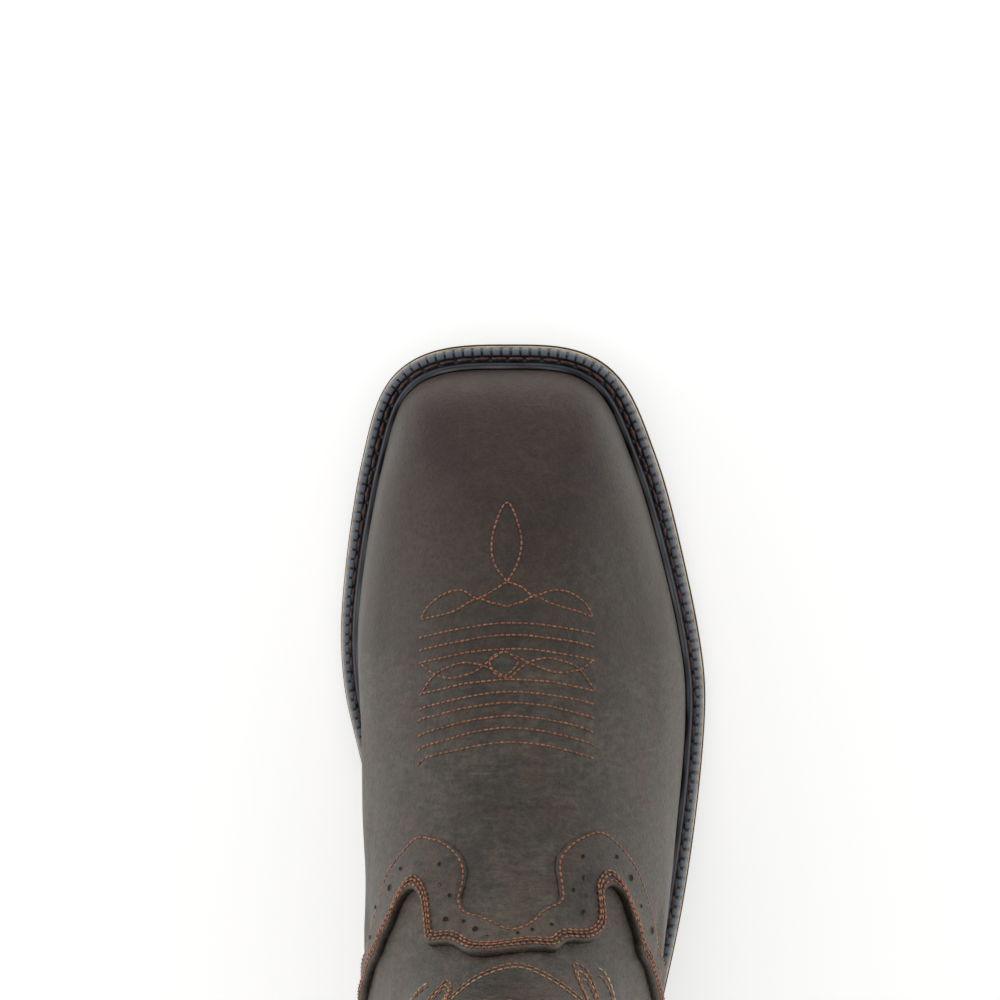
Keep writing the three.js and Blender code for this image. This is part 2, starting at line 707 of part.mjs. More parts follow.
function makeHeelLift() {
  const plain = slab([
    { pairs: heelLevel(0), height: () => 0 },
    { pairs: heelLevel(LIFT_THICKNESS), height: () => LIFT_THICKNESS },
  ]);
  let body = toManifold(plain);
  const groove = { width: 3.5, depth: 2.6, length: 21, pitch: 13, first: -22 };
  for (let k = 0; k < 4; k += 1) {
    for (const hand of [-1, 1]) {
      const box = new THREE.BoxGeometry(groove.width, groove.length, groove.depth * 2);
      box.rotateZ(hand * 0.35);
      box.translate(groove.first + k * groove.pitch, hand * HEEL_WIDTH / 2, 0);
      body = body.subtract(toManifold(box));
    }
  }
  return fromManifold(body);
}

// Rand: carries the welt's thickness on round the heel seat
const RAND_SPAN = 7; // how far it goes in under the upper

// Length along an offset path where its foot on the feather line passes x
function lengthWhere(side, lengths, x) {
  const feet = FEATHER_PATH[side];
  const j = feet.findIndex((p) => p.x < x);
  const t = (feet[j - 1].x - x) / (feet[j - 1].x - feet[j].x);
  return lerp(lengths[j - 1], lengths[j], t);
}

// A place on the sole's edge, with the feather point that it stands off from
function stationAt(side, lengths, length) {
  let j = 1;
  while (j < lengths.length - 1 && lengths[j] < length) j += 1;
  const t = clamp((length - lengths[j - 1]) / (lengths[j] - lengths[j - 1]), 0, 1);
  const foot = FEATHER_PATH[side][j - 1].clone().lerp(FEATHER_PATH[side][j], t);
  const normal = FEATHER_NORMALS[side][j - 1].clone().lerp(FEATHER_NORMALS[side][j], t).normalize();
  const place = (offset, base) => {
    const p = foot.clone().addScaledVector(normal, offset);
    return new THREE.Vector3(p.x, p.y, soleProfile(p.x) + base);
  };
  return { foot, normal, reach: reachAt(clamp((foot.x - LAST_REAR) / LAST_LENGTH, 0, 1)), place };
}

function makeRand() {
  const count = 14;
  const half = (side) => {
    const lengths = lengthsOf(offsetPath(side, reachAt));
    const start = lengthWhere(side, lengths, HEEL_BREAST - GAP);
    const end = lengths[lengths.length - 1];
    return Array.from({ length: count + 1 }, (_, k) => stationAt(side, lengths, lerp(start, end, k / count)));
  };
  const stations = [...half("outer"), ...half("inner").slice(0, -1).reverse()];
  const body = new Surface();
  const top = WELT_BASE + WELT_THICKNESS;
  const row = (offset, base) => body.row(stations.map((station) => station.place(offset(station), base)));
  return closeBand(body, [
    row(() => -RAND_SPAN, WELT_BASE),
    row((station) => station.reach - 0.3, WELT_BASE),
    row((station) => station.reach - 0.3, top - 0.8),
    row((station) => station.reach - 1.1, top),
    row(() => -RAND_SPAN, top),
  ]);
}

// A band from the rows round its section, with flat ends
function closeBand(body, section) {
  const sides = section.length;
  for (let k = 0; k < sides; k += 1) body.zip(section[(k + 1) % sides], section[k]);
  for (let k = 1; k < sides - 1; k += 1) {
    const end = section.map((row) => row[row.length - 1]);
    const start = section.map((row) => row[0]);
    body.triangle(start[0], start[k + 1], start[k]);
    body.triangle(end[0], end[k], end[k + 1]);
  }
  return body.geometry();
}

// Welt: bead against the upper, stitch channel, and ribs over the edge
function makeWelt() {
  const inner = weltSide("inner");
  const outer = weltSide("outer");
  const body = new Surface();
  const join = (coarse, read) => {
    const row = [...inner[coarse].map(read), ...outer[coarse].slice(0, -1).reverse().map(read)];
    return body.row(row);
  };
  const top = WELT_BASE + WELT_THICKNESS;
  const bead = FEATHER_BASE + BEAD_HEIGHT;
  const at = (offset, base) => (station) => station.place(offset(station), base(station));
  const lean = (station) => station.lean + GAP;
  const reach = (station) => station.reach;
  const channel = (station) => Math.min(lean(station) + BEAD_WIDTH + 0.1, reach(station) - RIB_LENGTH - 0.3);
  const level = (height) => () => height;
  const ribTop = (station) => top + (station.high ? RIB_HEIGHT : 0);
  const section = [
    join("coarse", at(() => -5, level(WELT_BASE))),
    join("coarse", at((s) => reach(s) - 0.9, level(WELT_BASE))),
    join("fine", at((s) => reach(s) - (s.high ? 0 : RIB_HEIGHT), (s) => ribTop(s) - 0.8)),
    join("fine", at((s) => reach(s) - RIB_LENGTH, ribTop)),
    join("coarse", at((s) => reach(s) - RIB_LENGTH - 0.2, level(top - 0.3))),
    join("coarse", at(channel, level(top - 0.3))),
    join("coarse", at((s) => channel(s) - 0.35, level(bead - 0.7))),
    join("coarse", at((s) => (lean(s) + channel(s)) / 2, level(bead))),
    join("coarse", at((s) => lean(s) + 0.2, level(bead - 0.5))),
    join("coarse", at(() => GAP, level(top))),
    join("coarse", at(() => -5, level(top))),
  ];
  return closeBand(body, section);
}

const RIBS_PER_STEP = 3; // plain rows of the welt are coarser than its ribs

// Stations along one side of the welt, from the heel breast to the toe's middle
function weltSide(side) {
  const edge = offsetPath(side, reachAt);
  const lengths = lengthsOf(edge);
  const total = lengthWhere(side, lengths, HEEL_BREAST);
  const ribs = Math.round(total / RIB_PITCH);
  const station = (length, high) => {
    const place = stationAt(side, lengths, length);
    return { ...place, high, lean: leanAtBead(place.foot, place.normal) };
  };
  const fine = [];
  for (let k = 0; k <= 2 * ribs; k += 1) fine.push(station(total * (1 - k / (2 * ribs)), k % 2 === 1));
  const coarse = [];
  const count = Math.round(ribs / RIBS_PER_STEP);
  for (let k = 0; k <= count; k += 1) coarse.push(station(total * (1 - k / count), false));
  return { fine, coarse };
}

// How far the upper has leaned out over the feather line at the bead's top
function leanAtBead(foot, normal) {
  const z = featherLevel(foot.x) + BEAD_HEIGHT;
  let lean = 0;
  while (lean < 6) {
    const p = foot.clone().addScaledVector(normal, lean + 0.05);
    if (footField(p.x, p.y, z) > 1) break;
    lean += 0.1;
  }
  return lean;
}

// Insole: filler between the welt's inner edges, and the footbed above
function makeInsole() {
  const bed = WALL + 0.35;
  const pairs = (inset) => edgePairs(() => -inset, 24);
  const under = RAND_SPAN + GAP;
  return slab([
    { pairs: pairs(under), height: (x) => soleProfile(x) + WELT_BASE },
    { pairs: pairs(under), height: (x) => soleProfile(x) + FEATHER_BASE },
    { pairs: pairs(bed), height: (x) => soleProfile(x) + FEATHER_BASE },
    { pairs: pairs(bed + 0.2), height: (x) => soleProfile(x) + FEATHER_BASE + INSOLE_THICKNESS },
  ]);
}

// Vamp collar, seen in plan: x as a share of the last's length ahead of the heel's middle, y as a
// share of the throat's width. Front edge from the middle out to the wing, then the rear edge back.
const COLLAR_FRONT = [
  { x: 0.32, y: 0 }, { x: 0.328, y: 0.06 }, { x: 0.338, y: 0.11 }, { x: 0.354, y: 0.13 },
  { x: 0.374, y: 0.13 }, { x: 0.393, y: 0.15 }, { x: 0.405, y: 0.2 }, { x: 0.408, y: 0.26 },
  { x: 0.402, y: 0.31 }, { x: 0.39, y: 0.35 }, { x: 0.366, y: 0.39 }, { x: 0.345, y: 0.44 },
  { x: 0.34, y: 0.7 },
];
const COLLAR_REAR = [
  { x: 0.28, y: 0.7 }, { x: 0.277, y: 0.43 }, { x: 0.316, y: 0.37 }, { x: 0.346, y: 0.33 },
  { x: 0.352, y: 0.29 }, { x: 0.342, y: 0.26 }, { x: 0.32, y: 0.26 }, { x: 0.301, y: 0.26 },
  { x: 0.3, y: 0.18 }, { x: 0.293, y: 0.11 }, { x: 0.296, y: 0 },
];
const WING_BEND = 0.25 * BOOT_HEIGHT; // below this height the wings run back
const WING_SWEEP = 1.0; // millimetres back for each millimetre down
const COLLAR_RINGS = { first: 1, last: 15 };
const CUTTER_STEPS = 15;

function makeVampCollar() {
  const half = [...COLLAR_FRONT, ...COLLAR_REAR];
  const mirrored = half.slice(1, -1).reverse().map((p) => ({ x: p.x, y: -p.y }));
  const place = (p) => new THREE.Vector2(p.x * LAST_LENGTH, p.y * THROAT_WIDTH);
  const outline = new THREE.Shape([...half, ...mirrored].map(place));
  const depth = 0.7 * BOOT_HEIGHT;
  const cutter = new THREE.ExtrudeGeometry(outline, { depth, bevelEnabled: false, steps: CUTTER_STEPS });
  const position = cutter.attributes.position;
  for (let i = 0; i < position.count; i += 1) {
    const drop = Math.max(0, WING_BEND - position.getZ(i));
    position.setX(i, position.getX(i) - WING_SWEEP * drop);
  }
  const shell = skinShell(GAP, GAP + OVERLAY_THICKNESS, COLLAR_RINGS.first, COLLAR_RINGS.last);
  return fromManifold(toManifold(shell).intersect(toManifold(cutter)));
}

// Heel counter, seen from the side: x as a share of the last's length ahead of the heel's middle,
// z as a share of the boot's height
const COUNTER_FRONT = { x: 0.114, low: 0.03, high: 0.153 };
const COUNTER_BENDS = [
  { x: 0.067, z: 0.22, toX: 0.02, toZ: 0.247 },
  { x: -0.047, z: 0.273, toX: -0.087, toZ: 0.333 },
  { x: -0.114, z: 0.36, toX: -0.27, toZ: 0.36 },
];
const COUNTER_RINGS = { first: 0, last: 12 };

function makeCounter() {
  const at = (x, z) => [x * LAST_LENGTH, z * BOOT_HEIGHT];
  const farBack = COUNTER_BENDS[COUNTER_BENDS.length - 1].toX;
  const outline = new THREE.Shape();
  outline.moveTo(...at(farBack, COUNTER_FRONT.low));
  outline.lineTo(...at(COUNTER_FRONT.x, COUNTER_FRONT.low));
  outline.lineTo(...at(COUNTER_FRONT.x, COUNTER_FRONT.high));
  for (const bend of COUNTER_BENDS) {
    outline.quadraticCurveTo(...at(bend.x, bend.z), ...at(bend.toX, bend.toZ));
  }
  const depth = 2 * BALL_WIDTH;
  const cutter = new THREE.ExtrudeGeometry(outline, { depth, bevelEnabled: false, curveSegments: 6 });
  cutter.rotateX(Math.PI / 2);
  cutter.translate(0, depth / 2, 0);
  const shell = skinShell(GAP, GAP + OVERLAY_THICKNESS, COUNTER_RINGS.first, COUNTER_RINGS.last);
  return fromManifold(toManifold(shell).intersect(toManifold(cutter)));
}

// Half width of the boot at a place on its side
function sideAt(x, z) {
  let near = 0;
  let far = SHAFT_WIDTH;
  for (let step = 0; step < 30; step += 1) {
    const middle = (near + far) / 2;
    if (bootField(x, middle, z) > 1) far = middle;
    else near = middle;
  }
  return near;
}

const SEAM_X = 12; // side seams and straps stand here at the collar

const PIPING_LOW = 92; // height where the cord starts over the foot's side
const PIPING_STEPS = 12;
const PIPING_CLEAR = 5; // below the strap

// Side piping: raised cord down the shaft's side seam
function makePiping(hand) {
  const points = [];
  const high = BOOT_HEIGHT - STRAP_LEG - PIPING_CLEAR;
  for (let k = 0; k <= PIPING_STEPS; k += 1) {
    const z = lerp(PIPING_LOW, high, k / PIPING_STEPS);
    const y = sideAt(SEAM_X, z) + 1.5 * GAP + PIPING_RADIUS;
    points.push(new THREE.Vector3(SEAM_X, hand * y, z));
  }
  const circle = new THREE.Shape();
  circle.absarc(0, 0, PIPING_RADIUS, 0, Math.PI * 2);
  const extrudePath = new THREE.CatmullRomCurve3(points);
  const steps = PIPING_STEPS;
  return new THREE.ExtrudeGeometry(circle, { steps, extrudePath, curveSegments: 3, bevelEnabled: false });
}

// Collar binding: bead that caps the rim
function makeBinding() {
  const body = new Surface();
  const top = RINGS.length - 1;
  const side = WALL / 2 + 0.2;
  const section = [[side, GAP], [0.55 * side, BINDING_HEIGHT], [-0.55 * side, BINDING_HEIGHT], [-side, GAP]];
  const rows = section.map(([out, up]) => body.row(OUTER_SKIN[top].map((p, i) => {
    const q = p.clone().addScaledVector(SKIN_NORMALS[top][i], out - WALL / 2);
    q.z += up;
    return q;
  })));
  for (let k = 0; k < rows.length; k += 1) body.strip(rows[k], rows[(k + 1) % rows.length], true);
  return body.geometry();
}

// Pull strap: up the outside, over in a loop, and down the inside
const STRAP_COLUMNS = 3;
const STRAP_CLEAR = 0.75;
const LOOP_RADIUS = 7.5; // wider than the wall, so that a finger goes through

function makeStrap(hand) {
  const offsetOut = STRAP_CLEAR + STRAP_THICKNESS / 2;
  const offsetIn = -WALL - STRAP_CLEAR - STRAP_THICKNESS / 2;
  const middle = (offsetOut + offsetIn) / 2;
  const radius = LOOP_RADIUS;
  const path = [];
  for (let k = 0; k <= 5; k += 1) {
    path.push({ aside: offsetOut, z: BOOT_HEIGHT + lerp(-STRAP_LEG, 3, k / 5), away: [1, 0] });
  }
  const crown = BOOT_HEIGHT + STRAP_RISE - radius - STRAP_THICKNESS / 2;
  for (let k = 0; k <= 6; k += 1) {
    const angle = Math.PI * k / 6;
    const dir = [Math.cos(angle), Math.sin(angle)];
    path.push({ aside: middle + radius * dir[0], z: crown + radius * dir[1], away: dir });
  }
  for (let k = 0; k <= 4; k += 1) {
    path.push({ aside: offsetIn, z: BOOT_HEIGHT + lerp(3, -0.6 * STRAP_LEG, k / 4), away: [-1, 0] });
  }
  const body = new Surface();
  const rowAt = (column, side) => {
    const x = SEAM_X + STRAP_WIDTH * (column / STRAP_COLUMNS - 0.5);
    return path.map((stop) => {
      const half = sideAt(x, Math.min(stop.z, BOOT_HEIGHT));
      const shift = side * STRAP_THICKNESS / 2;
      const out = half + stop.aside + shift * stop.away[0];
      return new THREE.Vector3(x, hand * out, stop.z + shift * stop.away[1]);
    });
  };
  const out = [];
  const inn = [];
  for (let c = 0; c <= STRAP_COLUMNS; c += 1) {
    out.push(body.row(rowAt(c, 1)));
    inn.push(body.row(rowAt(c, -1)));
  }
  const rows = [...out, ...inn.reverse()];
  for (let k = 0; k < rows.length; k += 1) {
    const next = rows[(k + 1) % rows.length];
    if (hand > 0) body.strip(rows[k], next);
    else body.strip(next, rows[k]);
  }
  for (const end of [0, path.length - 1]) {
    for (let c = 0; c < STRAP_COLUMNS; c += 1) {
      const mirror = STRAP_COLUMNS - c;
      const corners = [out[c][end], out[c + 1][end], inn[mirror - 1][end], inn[mirror][end]];
      if ((end === 0) !== (hand > 0)) corners.reverse();
      body.quad(...corners);
    }
  }
  return body.geometry();
}

// Finishes
const finish = (color, roughness) => new THREE.MeshStandardMaterial({ color, roughness, metalness: 0 });
const BROWN_LEATHER = finish(0x4a413b, 0.55);
const SHAFT_LEATHER = finish(0x4e4a3e, 0.6);
const BLACK_RUBBER = finish(0x23262b, 0.7);
const WELT_RUBBER = finish(0x2b3038, 0.5);
const TAN_LAYER = finish(0xc9b48f, 0.8);
const STACKED_HEEL = finish(0x2e241e, 0.6);
const FOOTBED = finish(0x7a6248, 0.9);

const boot = new THREE.Group();

function put(name, geometry, material) {
  const mesh = new THREE.Mesh(geometry, material);
  mesh.name = name;
  boot.add(mesh);
}

put("outsole", makeOutsole(), BLACK_RUBBER);
put("heel_block", makeHeelBlock(), STACKED_HEEL);
put("heel_lift", makeHeelLift(), BLACK_RUBBER);
put("midsole", makeMidsole(), TAN_LAYER);
put("welt", makeWelt(), WELT_RUBBER);
put("heel_rand", makeRand(), WELT_RUBBER);
put("insole", makeInsole(), FOOTBED);
put("upper", makeUpper(), BROWN_LEATHER);
put("vamp_collar", makeVampCollar(), BROWN_LEATHER);
put("heel_counter", makeCounter(), BROWN_LEATHER);
put("collar_binding", makeBinding(), SHAFT_LEATHER);
for (const [side, hand] of [["inner", 1], ["outer", -1]]) {
  put(`side_piping_${side}`, makePiping(hand), SHAFT_LEATHER);
  put(`pull_strap_${side}`, makeStrap(hand), SHAFT_LEATHER);
}

export default boot;
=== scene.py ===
import math

import bpy
import numpy as np
from mathutils import Matrix, Vector
from mathutils.bvhtree import BVHTree


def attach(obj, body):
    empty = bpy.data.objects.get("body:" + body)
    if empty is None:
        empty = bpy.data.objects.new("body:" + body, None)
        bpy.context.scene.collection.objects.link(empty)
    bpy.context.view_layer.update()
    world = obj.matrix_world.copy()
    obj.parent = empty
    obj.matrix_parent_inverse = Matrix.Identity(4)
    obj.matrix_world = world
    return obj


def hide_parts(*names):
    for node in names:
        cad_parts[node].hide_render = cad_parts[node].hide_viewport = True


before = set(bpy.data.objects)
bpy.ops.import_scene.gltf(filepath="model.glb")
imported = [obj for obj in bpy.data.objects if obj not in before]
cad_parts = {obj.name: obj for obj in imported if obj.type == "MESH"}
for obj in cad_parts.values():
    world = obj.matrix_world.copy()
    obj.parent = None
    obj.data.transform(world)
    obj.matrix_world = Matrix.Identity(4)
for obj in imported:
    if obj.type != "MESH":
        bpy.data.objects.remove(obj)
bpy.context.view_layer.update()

# Outsole and heel lift
# The parts that touch the ground: one lugged plate and the top lift, compression moulded from
# black-brown nitrile rubber. Mould release leaves it dull, with a fine even grain, and dust
# settles in the grooves. The solids from the model serve as they are.


def hue(text):
    """An sRGB hex colour as linear values."""
    parts = [int(text[i : i + 2], 16) / 255 for i in (0, 2, 4)]
    return [*(p / 12.92 if p <= 0.04045 else ((p + 0.055) / 1.055) ** 2.4 for p in parts), 1.0]


def per(size):
    """A pattern's scale from the size of one of its cells in millimetres."""
    return 1000 / size


def feed(made, shader, inputs):
    for key, value in inputs.items():
        if isinstance(value, bpy.types.Node):
            value = value.outputs[0]
        if isinstance(value, bpy.types.NodeSocket):
            made.node_tree.links.new(value, shader.inputs[key])
        else:
            shader.inputs[key].default_value = value


def material(name, inputs):
    """A material whose Principled shader takes these values."""
    made = bpy.data.materials.new(name)
    made.use_nodes = True
    feed(made, made.node_tree.nodes["Principled BSDF"], inputs)
    return made


def add(made, kind, inputs, stops=None, **settings):
    """Adds one shader node; its inputs are values or other nodes."""
    shader = made.node_tree.nodes.new("ShaderNode" + kind)
    for key, value in settings.items():
        setattr(shader, key, value)
    if stops:
        ramp = shader.color_ramp.elements
        while len(ramp) < len(stops):
            ramp.new(0.5)
        for element, (place, colour) in zip(ramp, stops):
            element.position = place
            element.color = colour
    feed(made, shader, inputs)
    return shader


def finish(made, inputs):
    feed(made, made.node_tree.nodes["Principled BSDF"], inputs)


def dress(name, made):
    """Gives one of the model's own solids its material."""
    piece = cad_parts[name]
    piece.data.materials.clear()
    piece.data.materials.append(made)
    return piece


tread_rubber = material("moulded_nitrile_rubber", {"Roughness": 0.72, "IOR": 1.52})
spot = add(tread_rubber, "TexCoord", {}).outputs["Object"]
dust = add(tread_rubber, "TexNoise", {"Vector": spot, "Scale": per(18), "Detail": 5.0})
tone = add(
    tread_rubber,
    "ValToRGB",
    {"Fac": dust},
    stops=[(0.35, hue("1b1a1b")), (0.7, hue("2e2b29"))],
)
grain = add(tread_rubber, "TexNoise", {"Vector": spot, "Scale": per(0.5), "Detail": 2.0})
relief = add(tread_rubber, "Bump", {"Height": grain, "Strength": 0.25, "Distance": 0.0002})
finish(tread_rubber, {"Base Color": tone, "Normal": relief})
dress("outsole", tread_rubber)
dress("heel_lift", tread_rubber)

# Heel block
# Fibre lifts about 3.4 mm thick, glued and pegged in a stack, sanded flush and stained with dark
# edge dressing. The glue lines show as thin darker bands round the heel under a waxed surface.
heel_fibre = material(
    "stacked_leatherboard",
    {"Roughness": 0.5, "IOR": 1.5, "Coat Weight": 0.15, "Coat Roughness": 0.35},
)
spot = add(heel_fibre, "TexCoord", {}).outputs["Object"]
height = add(heel_fibre, "SeparateXYZ", {"Vector": spot}).outputs["Z"]
sanded = add(heel_fibre, "TexNoise", {"Vector": spot, "Scale": per(9), "Detail": 4.0})
wander = add(heel_fibre, "Math", {0: sanded, 1: 0.0006, 2: height}, operation="MULTIPLY_ADD")
lift = add(heel_fibre, "Math", {0: wander, 1: per(3.4)}, operation="MULTIPLY")
place = add(heel_fibre, "Math", {0: lift}, operation="FRACT")
line = add(heel_fibre, "Math", {0: place, 1: 0.5, 2: 0.44}, operation="COMPARE")
tone = add(
    heel_fibre,
    "ValToRGB",
    {"Fac": sanded},
    stops=[(0.3, hue("2b211c")), (0.75, hue("46362c"))],
)
seamed = add(heel_fibre, "Mix", {0: line, 6: hue("17110e"), 7: tone}, data_type="RGBA").outputs[2]
relief = add(heel_fibre, "Bump", {"Height": line, "Strength": 0.4, "Distance": 0.0002})
finish(heel_fibre, {"Base Color": seamed, "Normal": relief})
dress("heel_block", heel_fibre)

# Midsole
# A 3 mm slip of natural tan rubber between outsole and welt, cut with them at the edge trimmer.
# The cut edge is matte and a little dusty, and reads as the pale line round the sole.
tan_rubber = material("natural_crepe_rubber", {"Roughness": 0.8, "IOR": 1.52})
spot = add(tan_rubber, "TexCoord", {}).outputs["Object"]
soil = add(tan_rubber, "TexNoise", {"Vector": spot, "Scale": per(7), "Detail": 6.0})
tone = add(
    tan_rubber,
    "ValToRGB",
    {"Fac": soil},
    stops=[(0.3, hue("a38f73")), (0.65, hue("d6c6aa"))],
)
relief = add(tan_rubber, "Bump", {"Height": soil, "Strength": 0.3, "Distance": 0.0003})
finish(tan_rubber, {"Base Color": tone, "Normal": relief})
dress("midsole", tan_rubber)

# Welt and heel rand
# A ribbed storm welt of black moulded rubber with a blue cast, lockstitched down through midsole
# and outsole with waxed thread, and its plain rand round the heel seat. A bead lies against the
# upper, then the stitch channel, then square ribs that roll over the edge. Its path stands off
# from the last's feather line, so the last's own sizes come first.
LAST_LENGTH = 299
HEEL_SETBACK = 36.6
TOE_WIDTH = 71
BALL_WIDTH = 104
WAIST_WIDTH = 77
HEEL_WIDTH = 69
TOE_BLUNTNESS = 27
HEEL_ROUND = 35
INNER_OVERHANG = 15.5
OUTER_OVERHANG = 3
TOE_BOX_HEIGHT = 43
BALL_HEIGHT = 64
INSTEP_HEIGHT = 95
HEEL_BULGE = 4.2
HEEL_HEIGHT = 26
HEEL_BREAST = 38
SEAT_FRONT = HEEL_BREAST - 14
TOE_SPRING = 11.5
TREAD_REAR = 150
TREAD_FRONT = 190
LUG_DEPTH = 3
WELT_BASE = 8.1  # outsole plate and midsole, with their seams
WELT_THICKNESS = 2.8
WELT_TOP = WELT_BASE + WELT_THICKNESS
FEATHER_BASE = WELT_TOP + 0.3
WELT_REACH = 7.6
RAND_REACH = 3.2
TOE_SQUARENESS = 3.4
HEEL_SQUARENESS = 2.15
TOE_RISE_SPAN = 1.26 * TOE_BLUNTNESS
TOE_RISE_SQUARENESS = 2.3
BULGE_HEIGHT = 0.8 * INSTEP_HEIGHT
LEAN_RISE = 0.34
SMALLEST_SPAN = 0.5
LAST_REAR = -HEEL_SETBACK
LAST_TIP = LAST_LENGTH - HEEL_SETBACK
MM = 0.001

# share along the last; inner and outer half width as shares of the width in the row
FEATHER = [
    (0.0, 0.486, 0.493, HEEL_WIDTH),
    (0.12, 0.493, 0.507, HEEL_WIDTH),
    (0.22, 0.467, 0.545, HEEL_WIDTH),
    (0.33, 0.396, 0.566, WAIST_WIDTH),
    (0.43, 0.422, 0.636, WAIST_WIDTH),
    (0.52, 0.365, 0.506, BALL_WIDTH),
    (0.6, 0.423, 0.527, BALL_WIDTH),
    (0.66, 0.46, 0.531, BALL_WIDTH),
    (0.72, 0.469, 0.508, BALL_WIDTH),
    (0.79, 0.45, 0.463, BALL_WIDTH),
    (0.87, 0.41, 0.4, BALL_WIDTH),
    (0.95, 0.522, 0.468, TOE_WIDTH),
    (1.0, 0.5, 0.425, TOE_WIDTH),
]
# share along the last; inner and outer overhang past the feather line, as shares
OVERHANG = [
    (0.0, 0.12, 0.5),
    (0.12, 0.16, 0.66),
    (0.22, 0.4, 0.85),
    (0.33, 1.1, 1.7),
    (0.43, 0.98, 1.2),
    (0.52, 0.72, 0.65),
    (0.6, 0.33, 0.35),
    (0.66, 0.12, 0.27),
    (0.74, 0.06, 0.2),
    (1.0, 0.02, 0.08),
]
# share along the last; rise of the ridge as a share of the height in the row; squareness
RIDGE = [
    (0.0, 0.65, INSTEP_HEIGHT, 2.6),
    (0.15, 0.8, INSTEP_HEIGHT, 2.4),
    (0.28, 1.04, INSTEP_HEIGHT, 2.1),
    (0.36, 1.085, INSTEP_HEIGHT, 2.0),
    (0.4, 1.0, INSTEP_HEIGHT, 2.0),
    (0.44, 0.93, INSTEP_HEIGHT, 2.0),
    (0.49, 0.872, INSTEP_HEIGHT, 2.0),
    (0.555, 0.81, INSTEP_HEIGHT, 2.05),
    (0.62, 0.744, INSTEP_HEIGHT, 2.1),
    (0.69, 0.985, BALL_HEIGHT, 2.2),
    (0.755, 0.89, BALL_HEIGHT, 2.3),
    (0.82, 0.8, BALL_HEIGHT, 2.45),
    (0.89, 1.02, TOE_BOX_HEIGHT, 2.6),
    (0.94, 0.9, TOE_BOX_HEIGHT, 2.7),
    (1.0, 0.78, TOE_BOX_HEIGHT, 2.8),
]
# share along the last; how far the sole stands out past the feather line, as a share of a reach
REACH = [
    (0.0, 1.0, RAND_REACH),
    (0.2, 1.0, RAND_REACH),
    (0.4, 0.7, WELT_REACH),
    (0.6, 0.79, WELT_REACH),
    (0.75, 0.83, WELT_REACH),
    (0.9, 0.97, WELT_REACH),
    (1.0, 1.0, WELT_REACH),
]


def spline(rows, value, of=None):
    """A cubic curve through a table's column, read at an array of shares."""
    keys = np.array([row[0] for row in rows], float)
    values = np.array([row[value] * (row[of] if of else 1) for row in rows], float)
    slope = np.empty_like(values)
    slope[1:-1] = (values[2:] - values[:-2]) / (keys[2:] - keys[:-2])
    slope[0] = (values[1] - values[0]) / (keys[1] - keys[0])
    slope[-1] = (values[-1] - values[-2]) / (keys[-1] - keys[-2])

    def read(at):
        i = np.clip(np.searchsorted(keys, at) - 1, 0, len(keys) - 2)
        span = keys[i + 1] - keys[i]
        t = np.clip((at - keys[i]) / span, 0, 1)
        rise = values[i + 1] - values[i]
        a = slope[i] * span
        b = slope[i + 1] * span
        return values[i] + t * (a + t * (3 * rise - 2 * a - b + t * (a + b - 2 * rise)))

    return read


feather_inner = spline(FEATHER, 1, 3)
feather_outer = spline(FEATHER, 2, 3)
lean_inner = spline(OVERHANG, 1)
lean_outer = spline(OVERHANG, 2)
ridge_rise = spline(RIDGE, 1, 2)
squareness = spline(RIDGE, 3)
reach_at = spline(REACH, 1, 2)


def smooth(value, low=0.0, high=1.0):
    t = np.clip((value - low) / (high - low), 0, 1)
    return t * t * (3 - 2 * t)


def end_cap(distance, length, power):
    return (1 - (1 - np.clip(distance / length, 0, 1)) ** power) ** (1 / power)


def both_ends(share):
    toe = end_cap((1 - share) * LAST_LENGTH, TOE_BLUNTNESS, TOE_SQUARENESS)
    return toe * end_cap(share * LAST_LENGTH, HEEL_ROUND, HEEL_SQUARENESS)


def feather_half(share, inner):
    return np.where(inner, feather_inner(share), feather_outer(share)) * both_ends(share)


def ridge_over(share):
    cap = end_cap((1 - share) * LAST_LENGTH, TOE_RISE_SPAN, TOE_RISE_SQUARENESS)
    return ridge_rise(share) * cap


def sole_profile(x):
    """Height of the outsole's underside: heel seat, waist, flat tread, toe spring."""
    seat = smooth(TREAD_REAR - x, 0, TREAD_REAR - SEAT_FRONT)
    spring = np.maximum(0, x - TREAD_FRONT) / (LAST_TIP - TREAD_FRONT)
    return LUG_DEPTH + (HEEL_HEIGHT - LUG_DEPTH) * seat + TOE_SPRING * spring**2


def foot_field(x, y, z):
    """Below 1 inside the last, above 1 outside."""
    level = sole_profile(x) + FEATHER_BASE
    bump = np.sin(np.pi * np.clip((z - level) / BULGE_HEIGHT, 0, 1))
    near_heel = 1 - smooth(x, 0, BULGE_HEIGHT)
    share = (x + HEEL_BULGE * bump * near_heel - LAST_REAR) / LAST_LENGTH
    inside = np.clip(share, 1e-6, 1 - 1e-6)
    up = np.maximum(z - level, 0) / np.maximum(ridge_over(inside), SMALLEST_SPAN)
    lean = np.where(y >= 0, lean_inner(inside) * INNER_OVERHANG, lean_outer(inside) * OUTER_OVERHANG)
    half = feather_half(inside, y >= 0) + lean * both_ends(inside) * smooth(up, 0, LEAN_RISE)
    power = squareness(inside)
    body = ((np.abs(y) / np.maximum(half, SMALLEST_SPAN)) ** power + up**power) ** (1 / power)
    return np.where((share > 0) & (share < 1), body, 2.0)


